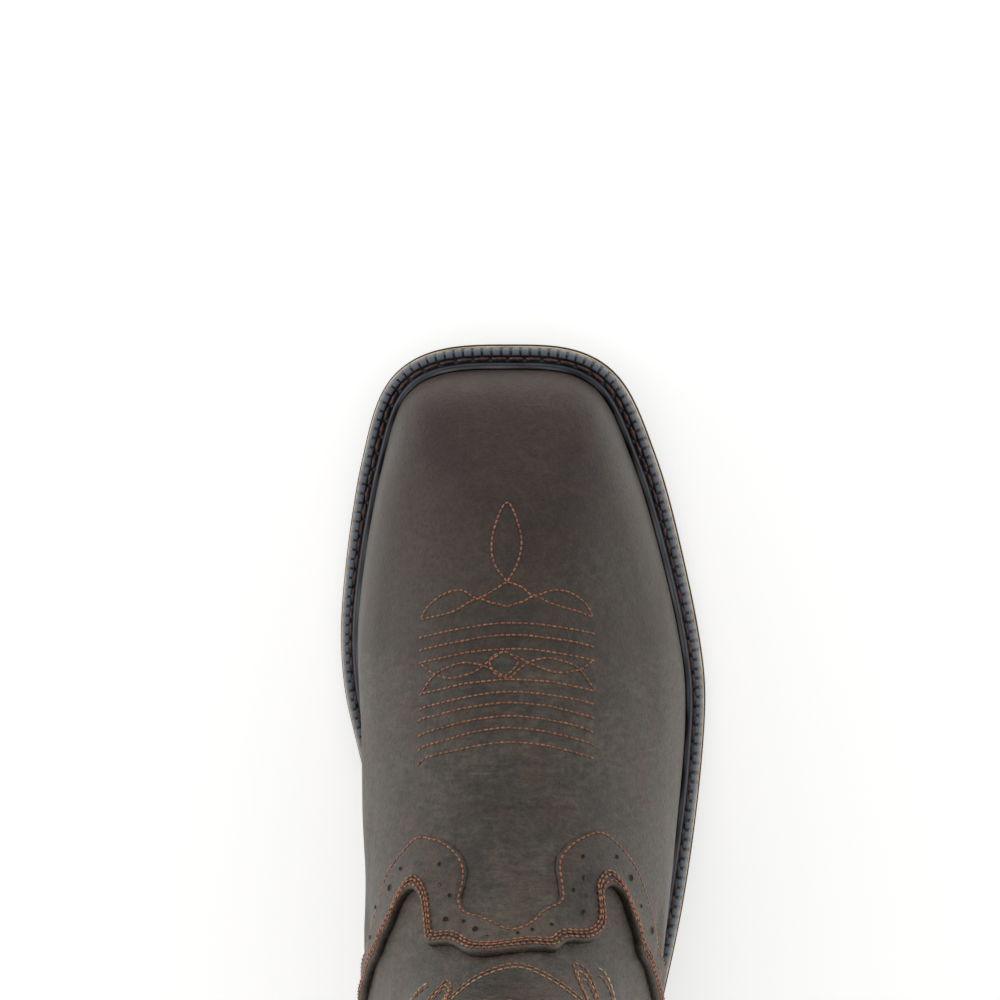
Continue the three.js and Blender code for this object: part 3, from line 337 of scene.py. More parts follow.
def feather_path(hand):
    """Feather line from toe to heel on one side: places and outward normals in plan."""
    share = (1 + np.cos(np.linspace(0, np.pi, 481))) / 2
    path = np.stack([LAST_REAR + share * LAST_LENGTH, hand * feather_half(share, hand > 0)], 1)
    step = np.empty_like(path)
    step[1:-1] = path[2:] - path[:-2]
    normal = np.stack([hand * step[:, 1], -hand * step[:, 0]], 1)
    normal[0] = (1, 0)
    normal[-1] = (-1, 0)
    return share, path, normal / np.linalg.norm(normal, axis=1, keepdims=True)


def edge_stations(hand, spacing, start_x=None, end_x=None):
    """Places along the sole's edge from the toe's middle, at even spacing along the edge."""
    share, path, normal = feather_path(hand)
    edge = path + normal * reach_at(share)[:, None]
    length = np.concatenate([[0], np.cumsum(np.linalg.norm(np.diff(edge, axis=0), axis=1))])
    low = 0.0 if start_x is None else np.interp(-start_x, -path[:, 0], length)
    high = length[-1] if end_x is None else np.interp(-end_x, -path[:, 0], length)
    at = np.linspace(low, high, max(2, round((high - low) / spacing) + 1))
    foot = np.stack([np.interp(at, length, path[:, i]) for i in (0, 1)], 1)
    out = np.stack([np.interp(at, length, normal[:, i]) for i in (0, 1)], 1)
    out /= np.linalg.norm(out, axis=1, keepdims=True)
    return foot, out, np.interp(at, length, reach_at(share)), at


def off_feather(foot, out, offset, base):
    """Points that stand off from the feather line, above the sole's profile."""
    plan = foot + out * np.reshape(offset, (-1, 1))
    return np.column_stack([plan, sole_profile(plan[:, 0]) + base])


def make_mesh(name, points, faces, made):
    """A smooth mesh object from points in millimetres and lists of their numbers."""
    mesh = bpy.data.meshes.new(name)
    mesh.from_pydata((np.asarray(points) * MM).tolist(), [], faces)
    mesh.update()
    mesh.polygons.foreach_set("use_smooth", [True] * len(mesh.polygons))
    mesh.materials.append(made)
    piece = bpy.data.objects.new(name, mesh)
    bpy.context.scene.collection.objects.link(piece)
    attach(piece, "root")
    return piece


def grid_faces(rows, columns, closed=False, first=0, flip=False):
    """Quads between the rows of a grid of points, its columns closed into rings or not."""
    k, i = np.meshgrid(np.arange(rows - 1), np.arange(columns if closed else columns - 1), indexing="ij")
    j = (i + 1) % columns
    quads = np.stack([k * columns + i, k * columns + j, (k + 1) * columns + j, (k + 1) * columns + i], -1)
    quads = quads.reshape(-1, 4) + first
    return quads[:, ::-1] if flip else quads


def make_tube(name, rings, made):
    """A tube from its rings, one after another, with closed ends."""
    count, sides = rings.shape[:2]
    ends = np.stack([rings[0].mean(0), rings[-1].mean(0)])
    faces = grid_faces(count, sides, closed=True).tolist()
    last = (count - 1) * sides
    for i in range(sides):
        j = (i + 1) % sides
        faces.append((j, i, count * sides))
        faces.append((last + i, last + j, count * sides + 1))
    return make_mesh(name, np.concatenate([rings.reshape(-1, 3), ends]), faces, made)


welt_rubber = material("moulded_storm_welt_rubber", {"Roughness": 0.38, "IOR": 1.52})
spot = add(welt_rubber, "TexCoord", {}).outputs["Object"]
bloom = add(welt_rubber, "TexNoise", {"Vector": spot, "Scale": per(11), "Detail": 5.0})
tone = add(
    welt_rubber,
    "ValToRGB",
    {"Fac": bloom},
    stops=[(0.3, hue("16181f")), (0.72, hue("343941"))],
)
# rib tops are painted paler blue-grey, a painted highlight where the light catches them, while the grooves
# between them keep the black tone; a pale painted highlight line runs where the bead meets the vamp
rib_highlight = add(welt_rubber, "Attribute", {}, attribute_name="rib_top_highlight").outputs["Fac"]
tone = add(welt_rubber, "Mix", {0: rib_highlight, 6: tone, 7: hue("6f7680")}, data_type="RGBA").outputs[2]
# painted highlight: a pale line along the bead's edge next to the vamp
edge_highlight = add(welt_rubber, "Attribute", {}, attribute_name="bead_edge_highlight").outputs["Fac"]
tone = add(welt_rubber, "Mix", {0: edge_highlight, 6: tone, 7: hue("a9adb0")}, data_type="RGBA").outputs[2]
skin = add(welt_rubber, "TexNoise", {"Vector": spot, "Scale": per(0.6), "Detail": 2.0})
relief = add(welt_rubber, "Bump", {"Height": skin, "Strength": 0.18, "Distance": 0.0002})
finish(welt_rubber, {"Base Color": tone, "Normal": relief})
dress("heel_rand", welt_rubber)

RIB_PITCH = 3.05
RIB_HEIGHT = 0.9
RIB_LENGTH = 2.6
RIB_SET_BACK = 0.6  # leaves the sole's tan and black edges in sight
BEAD_WIDTH = 2.1
BEAD_HEIGHT = 2.2
PER_RIB = 8


def welt_half(hand):
    """Stations of one side, eight to a rib, with each station's share of a rib's height."""
    foot, out, reach, at = edge_stations(hand, RIB_PITCH / PER_RIB, end_x=HEEL_BREAST)
    ribs = round(at[-1] / RIB_PITCH)
    phase = at / at[-1] * ribs
    high = smooth(0.5 - 0.5 * np.cos(2 * np.pi * phase), 0.02, 0.3)
    lean = np.zeros(len(foot))
    for step in np.arange(0.1, 6.0, 0.1):
        probe = off_feather(foot, out, np.full(len(foot), step), FEATHER_BASE + BEAD_HEIGHT)
        lean = np.where(foot_field(*probe.T) < 1, step, lean)
    return foot, out, reach, high, lean


inner_welt = welt_half(1)
outer_welt = welt_half(-1)
foot, out, reach, high, lean = (
    np.concatenate([a[::-1], b[1:]]) for a, b in zip(inner_welt, outer_welt)
)
low = 1 - high
reach = reach - RIB_SET_BACK
channel = np.minimum(lean + 0.3 + BEAD_WIDTH, reach - RIB_LENGTH - 0.3)
bead_foot = lean + 0.3
bead_middle = (bead_foot + channel) / 2
bead_top = FEATHER_BASE + BEAD_HEIGHT
section = [
    (np.full_like(reach, -5.0), WELT_BASE),
    (reach - 1.0, WELT_BASE),
    (reach - 0.45 - 0.7 * low, WELT_BASE + 0.15),
    (reach - 0.12 - 0.9 * low, WELT_BASE + 0.8),
    (reach - 0.05 - 0.95 * low, WELT_BASE + 1.7),
    (reach - 0.15 - 0.9 * low, WELT_TOP - 0.35 + 0.5 * RIB_HEIGHT * high),
    (reach - 0.5 - 0.65 * low, WELT_TOP - 0.05 + 0.85 * RIB_HEIGHT * high),
    (reach - 1.05 - 0.2 * low, WELT_TOP + RIB_HEIGHT * high),
    (reach - 1.8, WELT_TOP + RIB_HEIGHT * high),
    (reach - 2.25, WELT_TOP + 0.85 * RIB_HEIGHT * high),
    (reach - RIB_LENGTH, WELT_TOP + 0.3 * RIB_HEIGHT * high),
    (reach - RIB_LENGTH - 0.15, WELT_TOP - 0.25),
    (channel + 0.15, WELT_TOP - 0.35),
    (channel - 0.05, WELT_TOP + 0.1),
    (channel - 0.15, bead_top - 1.0),
    (channel - 0.5, bead_top - 0.35),
    (bead_middle, bead_top),
    (bead_foot + 0.4, bead_top - 0.25),
    (bead_foot, bead_top - 0.7),
    (np.full_like(reach, 0.3), WELT_TOP),
    (np.full_like(reach, -5.0), WELT_TOP),
]
rings = np.stack([off_feather(foot, out, offset, base) for offset, base in section], 1)
welt = make_tube("welt_fine", rings, welt_rubber)
# the rib tops and the bead's edge next to the vamp carry painted highlights through these attributes
on_rib = np.isin(np.arange(len(section)), range(4, 10))
at_vamp = np.isin(np.arange(len(section)), (17, 18))
patchy = 0.45 + 0.35 * np.sin(np.arange(len(reach)) * 0.021) + 0.2 * np.sin(np.arange(len(reach)) * 0.13)
for name, share in (("rib_top_highlight", np.outer(high, on_rib)), ("bead_edge_highlight", np.outer(patchy, at_vamp))):
    values = np.append(share.ravel(), [0.0, 0.0])
    welt.data.attributes.new(name, "FLOAT", "POINT").data.foreach_set("value", values)
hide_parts("welt")

# Trimmed sole edges
# One pass of the edge trimmer cuts outsole and midsole together. It leaves a smooth upright wall
# of black rubber with the tan slip a hair further in, right round to the heel breast.
for name, slot, inset, base, thick, made in (
    ("outsole_trimmed_edge", "black_rubber", -0.1, 0.1, 4.3, tread_rubber),
    ("midsole_trimmed_edge", "tan_layer", 0.3, 4.9, 2.8, tan_rubber),
):
    wall = reach + RIB_SET_BACK - inset
    edge_section = [(2.0, 0.0), (0.3, 0.0), (0.0, 0.3), (0.0, thick - 0.3), (0.3, thick), (2.0, thick)]
    rings = np.stack([off_feather(foot, out, wall - back, base + rise) for back, rise in edge_section], 1)
    edge = make_tube(name, rings, made)

# Insole
# A leather-topped footbed over cork filler, seen only down the shaft: plain brown, a little nap
# where the sock rubs it.
bed_leather = material("veg_tanned_insole_leather", {"Roughness": 0.85, "IOR": 1.5})
spot = add(bed_leather, "TexCoord", {}).outputs["Object"]
rub = add(bed_leather, "TexNoise", {"Vector": spot, "Scale": per(25), "Detail": 5.0})
tone = add(
    bed_leather,
    "ValToRGB",
    {"Fac": rub},
    stops=[(0.3, hue("5d4734")), (0.7, hue("846a4e"))],
)
finish(bed_leather, {"Base Color": tone})
dress("insole", bed_leather)

# Upper
# Vamp and shaft are oiled, waxed cowhide with the grain out, lasted over the form above and lined
# with lighter leather, 2.4 mm in all. The colour is painted paler on wrinkle ridges and darker in
# their troughs as painted highlight and shade, and painted paler on the sides as a painted sheen;
# the toe has been rubbed with oxblood, and the flex line over the ball carries fine cross wrinkles.
BOOT_HEIGHT = 300
THROAT_DEPTH = 109
THROAT_WIDTH = 96
SHAFT_DEPTH = 128
SHAFT_WIDTH = 105
FRONT_DIP = 26
BACK_DIP = 20
WALL = 2.4
LEG_SQUARENESS = 2.15
THROAT_BLEND = 0.22
FOOT_FAN = 38
SHAFT_FAN = 28
RAY_STEP = 4.0
RAY_STEPS = 40
HALVINGS = 24

# height share; reach ahead and behind as shares of the depth in the row; half width, its width
LEG = [
    (0.17, 0.4, 0.29, THROAT_DEPTH, 0.29, THROAT_WIDTH),
    (0.27, 0.62, 0.34, THROAT_DEPTH, 0.37, THROAT_WIDTH),
    (0.35, 0.71, 0.343, THROAT_DEPTH, 0.42, THROAT_WIDTH),
    (0.43, 0.7, 0.345, THROAT_DEPTH, 0.46, THROAT_WIDTH),
    (0.53, 0.642, 0.358, THROAT_DEPTH, 0.5, THROAT_WIDTH),
    (0.67, 0.54, 0.34, SHAFT_DEPTH, 0.46, SHAFT_WIDTH),
    (0.83, 0.56, 0.383, SHAFT_DEPTH, 0.485, SHAFT_WIDTH),
    (1.0, 0.586, 0.414, SHAFT_DEPTH, 0.5, SHAFT_WIDTH),
]
# rings over the foot: setback from the toe, height up the back, sag with the sole
FOOT_RINGS = [
    (0.0, 0.0, 1.0),
    (0.0002, 0.028, 0.98),
    (0.0016, 0.08, 0.92),
    (0.0134, 0.17, 0.7),
    (0.04, 0.25, 0.48),
    (0.087, 0.32, 0.3),
    (0.147, 0.4, 0.16),
    (0.214, 0.48, 0.06),
    (0.288, 0.56, 0.0),
    (0.368, 0.65, 0.0),
    (0.448, 0.76, 0.0),
    (0.512, 0.86, 0.0),
    (0.552, 0.93, 0.0),
    (0.582, 1.0, 0.0),
]
# rings round the shaft: front height, back height, share of the collar's dip
SHAFT_RINGS = [
    (0.475, 0.5, 0.0),
    (0.55, 0.565, 0.02),
    (0.64, 0.645, 0.1),
    (0.75, 0.75, 0.3),
    (0.87, 0.87, 0.65),
    (1.0, 1.0, 1.0),
]
TOE_POINTS = 18
SIDE_POINTS = 15
HEEL_POINTS = 12
RING_POINTS = TOE_POINTS + 2 * SIDE_POINTS + HEEL_POINTS

leg_ahead = spline(LEG, 1, 3)
leg_behind = spline(LEG, 2, 3)
leg_half = spline(LEG, 4, 5)


def boot_field(x, y, z):
    """Foot and leg run into each other with a soft throat: below 1 inside."""
    height = z / BOOT_HEIGHT
    middle = (leg_ahead(height) - leg_behind(height)) / 2
    depth = (leg_ahead(height) + leg_behind(height)) / 2
    power = LEG_SQUARENESS
    leg = ((np.abs(x - middle) / depth) ** power + (np.abs(y) / leg_half(height)) ** power) ** (1 / power)
    leg = np.where(height > LEG[0][0], leg, 2.0)
    foot = foot_field(x, y, z)
    near = np.maximum(THROAT_BLEND - np.abs(foot - leg), 0) / THROAT_BLEND
    return np.minimum(foot, leg) - near * near * THROAT_BLEND / 4


def ring_rows():
    """Front x and z, back x and z, sag, dip and the radius of the rays' fan, for every ring."""
    low = sole_profile(LAST_REAR) + FEATHER_BASE
    rows = []
    for setback, back, sag in FOOT_RINGS:
        front = LAST_TIP - setback * LAST_LENGTH
        front_z = sole_profile(front) + FEATHER_BASE + ridge_over(np.array(1 - setback))
        back_z = low + (0.45 * BOOT_HEIGHT - low) * back
        rows.append((front, front_z, LAST_REAR, back_z, sag, 0, FOOT_FAN))
    for front, back, dip in SHAFT_RINGS:
        ahead = leg_ahead(np.array(front))
        behind = leg_behind(np.array(back))
        rows.append((ahead, front * BOOT_HEIGHT, -behind, back * BOOT_HEIGHT, 0, dip, SHAFT_FAN))
    return np.array([[float(value) for value in row] for row in rows])


def coarse_skin():
    """Rays from each ring's middle line find the body; hollows are then drawn smooth."""
    front_x, front_z, back_x, back_z, sag, dip, fan = (c[:, None] for c in ring_rows().T)
    i = np.arange(RING_POINTS)
    hand = np.where(i <= RING_POINTS / 2, 1, -1)
    i = np.where(i <= RING_POINTS / 2, i, RING_POINTS - i)
    half_toe = TOE_POINTS / 2
    side_end = half_toe + SIDE_POINTS
    toe_turn = i / half_toe * np.pi / 2
    heel_turn = np.pi / 2 * (1 + (i - side_end) / (HEEL_POINTS / 2))
    angle = np.where(i < half_toe, toe_turn, np.where(i <= side_end, np.pi / 2, heel_turn))
    slide = np.clip((i - half_toe) / SIDE_POINTS, 0, 1)
    start = (front_x - fan) * (1 - slide) + (back_x + fan) * slide
    seat_heel = sole_profile(LAST_REAR) + FEATHER_BASE
    seat_toe = sole_profile(LAST_TIP) + FEATHER_BASE

    def place(r):
        x = start + r * np.cos(angle)
        share = (x - back_x) / (front_x - back_x)
        seat = seat_heel + (seat_toe - seat_heel) * (x - LAST_REAR) / LAST_LENGTH
        swing = np.clip(2 * share - 1, -1, 1)
        scallop = np.where(swing > 0, FRONT_DIP * swing**3, BACK_DIP * np.abs(swing) ** 3)
        z = back_z + (front_z - back_z) * share - dip * scallop
        return x, r * hand * np.sin(angle), z + sag * (sole_profile(x) + FEATHER_BASE - seat)

    far = np.full(start.shape, RAY_STEP)
    for _ in range(RAY_STEPS):
        far = np.where(boot_field(*place(far)) > 1, far, far + RAY_STEP)
    near = far - RAY_STEP
    for _ in range(HALVINGS):
        middle = (near + far) / 2
        outside = boot_field(*place(middle)) > 1
        far = np.where(outside, middle, far)
        near = np.where(outside, near, middle)
    skin = np.stack(place(near), axis=-1)
    for _ in range(3):
        mean = (np.roll(skin, 1, 1) + np.roll(skin, -1, 1)) / 4
        mean[1:-1] += (skin[2:] + skin[:-2]) / 4
        skin[5:-1] = (skin[5:-1] + mean[5:-1]) / 2
    return skin


def cubic_weights(t):
    t = t[..., None]
    falling = 0.5 * (-t + 2 * t**2 - t**3)
    start = 0.5 * (2 - 5 * t**2 + 3 * t**3)
    end = 0.5 * (t + 4 * t**2 - 3 * t**3)
    rising = 0.5 * (-(t**2) + t**3)
    return np.concatenate([falling, start, end, rising], axis=-1)


SKIN = coarse_skin()
TOP_RING = len(SKIN) - 1
PADDED = np.concatenate([[2 * SKIN[0] - SKIN[1]], SKIN, [2 * SKIN[-1] - SKIN[-2]]])


def skin_point(u, v):
    """The skin at u round the ring, from the toe by the inner side, and v up the rings."""
    u = np.mod(np.asarray(u, float), RING_POINTS)
    v = np.clip(np.asarray(v, float), 0, TOP_RING)
    i = np.floor(u).astype(int)
    k = np.minimum(np.floor(v).astype(int), TOP_RING - 1)
    round_weights = cubic_weights(u - i)
    up_weights = cubic_weights(v - k)
    total = 0
    for a in range(4):
        row = 0
        for b in range(4):
            row = row + round_weights[..., b : b + 1] * PADDED[k + a, (i + b - 1) % RING_POINTS]
        total = total + up_weights[..., a : a + 1] * row
    return total


def skin_normal(u, v):
    v = np.asarray(v, float)
    around = skin_point(u + 0.05, v) - skin_point(u - 0.05, v)
    upward = skin_point(u, np.minimum(v + 0.05, TOP_RING)) - skin_point(u, np.maximum(v - 0.05, 0))
    normal = np.cross(around, upward)
    return normal / np.linalg.norm(normal, axis=-1, keepdims=True)


# the fine skin's columns stand about 2 mm apart round it
FINE_COLUMNS = 360
ROW_GAP = 2.6
row_stops = [0.0]
for k, gap in enumerate(np.linalg.norm(SKIN[1:, 0] - SKIN[:-1, 0], axis=-1)):
    steps = max(2, round(gap / ROW_GAP))
    row_stops += [k + (s + 1) / steps for s in range(steps)]
row_stops = np.array(row_stops)
FINE_ROWS = len(row_stops)
column_stops = np.arange(FINE_COLUMNS) * RING_POINTS / FINE_COLUMNS
grid_v, grid_u = np.meshgrid(row_stops, column_stops, indexing="ij")
bare_skin = skin_point(grid_u, grid_v)
bare_normal = skin_normal(grid_u, grid_v)
skin_quads = grid_faces(FINE_ROWS, FINE_COLUMNS, closed=True)
skin_tree = BVHTree.FromPolygons(bare_skin.reshape(-1, 3).tolist(), skin_quads.tolist())


def skin_hit(origin, direction):
    """Where a ray in millimetres first meets the skin, as u and v."""
    hit, _, face, _ = skin_tree.ray_cast(Vector(origin), Vector(direction))
    row, col = divmod(face, FINE_COLUMNS)
    corner = bare_skin[row, col]
    across = bare_skin[row, (col + 1) % FINE_COLUMNS] - corner
    upward = bare_skin[row + 1, col] - corner
    rest = np.array(hit) - corner
    s = np.clip(rest @ across / (across @ across), 0, 1)
    t = np.clip(rest @ upward / (upward @ upward), 0, 1)
    u = column_stops[col] + s * RING_POINTS / FINE_COLUMNS
    return u, row_stops[row] + t * (row_stops[row + 1] - row_stops[row])


def on_top(x, y):
    return skin_hit((x, y, 400), (0, 0, -1))


def on_side(x, z, hand):
    """hand is 1 on the inner side and -1 on the outer."""
    return skin_hit((x, hand * 200, z), (0, -hand, 0))


def on_back(y, z):
    return skin_hit((-200, y, z), (1, 0, 0))


def curve(stops, step=0.25):
    """A smooth line in u and v through stops on the skin."""
    stops = np.array(stops, float)
    stops[:, 0] = np.unwrap(stops[:, 0], period=RING_POINTS)
    padded = np.concatenate([[2 * stops[0] - stops[1]], stops, [2 * stops[-1] - stops[-2]]])
    at = np.arange(0, len(stops) - 1 + step / 2, step)
    i = np.minimum(np.floor(at).astype(int), len(stops) - 2)
    weights = cubic_weights(at - i)
    return sum(weights[:, b : b + 1] * padded[i + b] for b in range(4))


# Creases: stops along each, depth and half width in millimetres. Over the ball and the instep
# they run across; at the ankle they run round the sides, where the shaft folds when it is pulled on.
TOP_CREASES = [
    ([(176, 24), (178, 12), (177, 0), (179, -13), (176, -25)], 0.35, 2.6),
    ([(168, 19), (170, 8), (169, -4), (171, -17)], 0.3, 2.2),
    ([(163, 34), (160, 26), (157, 17)], 0.4, 3.0),
    ([(161, -33), (158, -24), (156, -15)], 0.4, 3.0),
    ([(148, 30), (151, 18), (149, 6), (151, -8), (148, -22)], 0.45, 3.0),
    ([(141, 26), (143, 14), (141, 2), (143, -12), (140, -24)], 0.4, 2.6),
    ([(134, 22), (136, 12), (134, 1), (136, -11), (133, -22)], 0.55, 3.4),
    ([(127, 15), (128, 5), (127, -7), (128, -17)], 0.4, 2.8),
]
SIDE_CREASES = [
    ([(96, 60), (84, 66), (72, 78)], 0.6, 5.0),
    ([(66, 96), (52, 101), (38, 108), (24, 112)], 1.1, 7.0),
    ([(70, 114), (56, 117), (40, 124), (20, 130)], 1.3, 8.0),
    ([(60, 138), (44, 143), (24, 150), (4, 152)], 1.0, 8.0),
    ([(-26, 110), (-14, 116), (2, 120), (16, 119)], 0.9, 7.0),
    ([(-28, 132), (-14, 136), (2, 140)], 0.7, 6.5),
    ([(58, 196), (46, 202), (32, 204)], 0.6, 9.0),
    ([(-32, 186), (-20, 192), (-4, 196)], 0.5, 9.0),
]


def crease_depth(points):
    """How far creases push the skin in, and out beside them, at each point."""
    push = np.zeros(points.shape[:-1])
    lines = [(curve([on_top(x, y) for x, y in stops]), depth, width) for stops, depth, width in TOP_CREASES]
    for hand in (1, -1):
        for stops, depth, width in SIDE_CREASES:
            lines.append((curve([on_side(x, z, hand) for x, z in stops]), depth, width))
    for line, depth, width in lines:
        stops = skin_point(line[:, 0], line[:, 1])
        fade = np.sin(np.pi * np.linspace(0.02, 0.98, len(stops))) ** 0.6
        box = (points > stops.min(0) - 3 * width).all(-1) & (points < stops.max(0) + 3 * width).all(-1)
        away = np.linalg.norm(points[box][:, None] - stops, axis=-1)
        nearest = away.argmin(1)
        t = away[np.arange(len(away)), nearest] / width
        push[box] -= depth * fade[nearest] * (1 - 1.1 * t**2) * np.exp(-(t**2))
    return push


creases = crease_depth(bare_skin)
outer_skin = bare_skin + bare_normal * creases[..., None]
lining_rows = np.arange(0, FINE_ROWS, 2)
if lining_rows[-1] != FINE_ROWS - 1:
    lining_rows = np.append(lining_rows, FINE_ROWS - 1)
lining_skin = (outer_skin - bare_normal * WALL)[lining_rows]
outer_count = outer_skin.shape[0] * FINE_COLUMNS
lining_count = len(lining_rows) * FINE_COLUMNS
lining_quads = grid_faces(len(lining_rows), FINE_COLUMNS, closed=True, first=outer_count, flip=True)
column = np.arange(FINE_COLUMNS)
after = (column + 1) % FINE_COLUMNS
top_outer = outer_count - FINE_COLUMNS
top_inner = outer_count + lining_count - FINE_COLUMNS
rim = np.stack([top_outer + column, top_outer + after, top_inner + after, top_inner + column], 1)
foot_rim = np.stack([outer_count + column, outer_count + after, after, column], 1)
upper_points = np.concatenate([outer_skin.reshape(-1, 3), lining_skin.reshape(-1, 3)])
upper_faces = np.concatenate([skin_quads, lining_quads, rim, foot_rim])


def oiled_leather(name, dark, mid, pale, crossed):
    """Oiled waxed cowhide: pebble grain, a painted sheen on the sides, painted shade in furrows and wrinkle
    troughs with painted highlight on their ridges, fine cross wrinkles, scratches.
    """
    made = material(name, {"Roughness": 0.46, "IOR": 1.5, "Specular IOR Level": 0.42})
    spot = add(made, "TexCoord", {}).outputs["Object"]
    place = add(made, "SeparateXYZ", {"Vector": spot})
    cloud = add(made, "TexNoise", {"Vector": spot, "Scale": per(42), "Detail": 5.0, "Roughness": 0.55})
    fine = add(made, "TexNoise", {"Vector": spot, "Scale": per(3.2), "Detail": 4.0, "Roughness": 0.6})
    mixed = add(made, "Math", {0: fine, 1: 0.5, 2: cloud}, operation="MULTIPLY_ADD")
    tone = add(
        made,
        "ValToRGB",
        {"Fac": mixed},
        stops=[(0.5, hue(dark)), (0.7, hue(mid)), (0.9, hue(pale))],
    )
    # oxblood rubbed into the toe, deepest on its inner side
    toe = add(
        made,
        "MapRange",
        {0: place.outputs["X"], 1: 0.165, 2: 0.245, 3: 0.0, 4: 0.62},
        interpolation_type="SMOOTHSTEP",
    )
    inner = add(made, "MapRange", {0: place.outputs["Y"], 1: -0.03, 2: 0.03, 3: 0.55, 4: 1.0})
    dye = add(made, "Math", {0: toe, 1: inner}, operation="MULTIPLY")
    dyed = add(made, "Mix", {0: dye, 6: tone, 7: hue("3d2522")}, data_type="RGBA").outputs[2]
    # the sides are painted greener and paler the more they face sideways: a painted sheen
    facing = add(made, "SeparateXYZ", {"Vector": add(made, "NewGeometry", {}).outputs["Normal"]})
    aside = add(made, "Math", {0: facing.outputs["Y"]}, operation="ABSOLUTE")
    side_sheen = add(made, "MapRange", {0: aside, 1: 0.6, 2: 0.98, 3: 0.0, 4: 0.6})
    waxed = add(made, "Mix", {0: side_sheen, 6: dyed, 7: hue("4f4a40")}, data_type="RGBA").outputs[2]
    # the oil is worn out of it in places, which read browner
    rub = add(made, "TexNoise", {"Vector": spot, "Scale": per(14), "Detail": 6.0, "Roughness": 0.7})
    dry = add(made, "MapRange", {0: rub, 1: 0.46, 2: 0.66, 3: 0.0, 4: 0.65})
    waxed = add(made, "Mix", {0: dry, 6: waxed, 7: hue("4d392d")}, data_type="RGBA").outputs[2]
    # long pale scratches, thin and broken
    drawn = add(
        made,
        "Mapping",
        {"Vector": spot, "Rotation": (0.0, 0.0, 0.7), "Scale": (per(1.1), per(26), per(26))},
    )
    scuff = add(made, "TexNoise", {"Vector": drawn, "Scale": 1.0, "Detail": 2.0})
    scratch = add(made, "MapRange", {0: scuff, 1: 0.7, 2: 0.78, 3: 0.0, 4: 0.35})
    marked = add(made, "Mix", {0: scratch, 6: waxed, 7: hue("6b6156")}, data_type="RGBA").outputs[2]
    # grain, cross wrinkles and pores stand in the normal
    pebble = add(
        made,
        "TexVoronoi",
        {"Vector": spot, "Scale": per(1.25), "Randomness": 1.0},
        feature="SMOOTH_F1",
    ).outputs["Distance"]
    pore = add(made, "TexNoise", {"Vector": spot, "Scale": per(0.55), "Detail": 3.0})
    across = add(made, "Mapping", {"Vector": spot, "Scale": (per(1.5), per(5.5), per(4))})
    wrinkle = add(made, "TexNoise", {"Vector": across, "Scale": 1.0, "Detail": 3.0, "Distortion": 0.4})
    flex = add(
        made,
        "MapRange",
        {0: place.outputs["X"], 1: 0.185, 2: 0.165, 3: 0.25, 4: crossed},
        interpolation_type="SMOOTHSTEP",
    )
    folded = add(made, "Math", {0: wrinkle, 1: flex}, operation="MULTIPLY")
    grain = add(made, "Math", {0: pebble, 1: 0.55, 2: pore}, operation="MULTIPLY_ADD")
    relief = add(made, "Bump", {"Height": grain, "Strength": 0.8, "Distance": 0.0003})
    wrinkled = add(
        made,
        "Bump",
        {"Height": folded, "Strength": 0.55, "Distance": 0.0006, "Normal": relief},
    )
    # painted shade and highlight: the colour is darker in the grain's furrows and the wrinkles' troughs
    # and paler on their ridges
    furrow = add(made, "MapRange", {0: grain, 1: 0.45, 2: 0.95, 3: 0.7, 4: 1.2})
    fold = add(made, "MapRange", {0: folded, 1: 0.28, 2: 0.5, 3: 0.78, 4: 1.12})
    painted_relief_shading = add(made, "Math", {0: furrow, 1: fold}, operation="MULTIPLY")
    darkened = add(
        made,
        "Mix",
        {0: 1.0, 6: marked, 7: painted_relief_shading},
        data_type="RGBA",
        blend_type="MULTIPLY",
    ).outputs[2]
    polish = add(made, "MapRange", {0: cloud, 1: 0.35, 2: 0.65, 3: 0.38, 4: 0.56})
    finish(made, {"Base Color": darkened, "Roughness": polish, "Normal": wrinkled})
    return made


vamp_leather = oiled_leather("oiled_waxed_cowhide", "23201c", "38332d", "50493f", 0.9)
upper = make_mesh("upper_skin", upper_points, upper_faces.tolist(), vamp_leather)
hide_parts("upper")

# Thread
# Bonded polyester, about 0.7 mm thick, sewn at about 2 mm a stitch on the upper; the welt has a
# waxed and thicker one. Each stitch lies proud in the middle and dives into its needle holes.
STITCH_SIDES = 5
STITCH_RINGS = [(-0.82, 0.72), (0.0, 1.0), (0.82, 0.72)]  # place along half of it, share of its width
TIP_DEPTH = 0.55
STITCH_BOW = 0.35


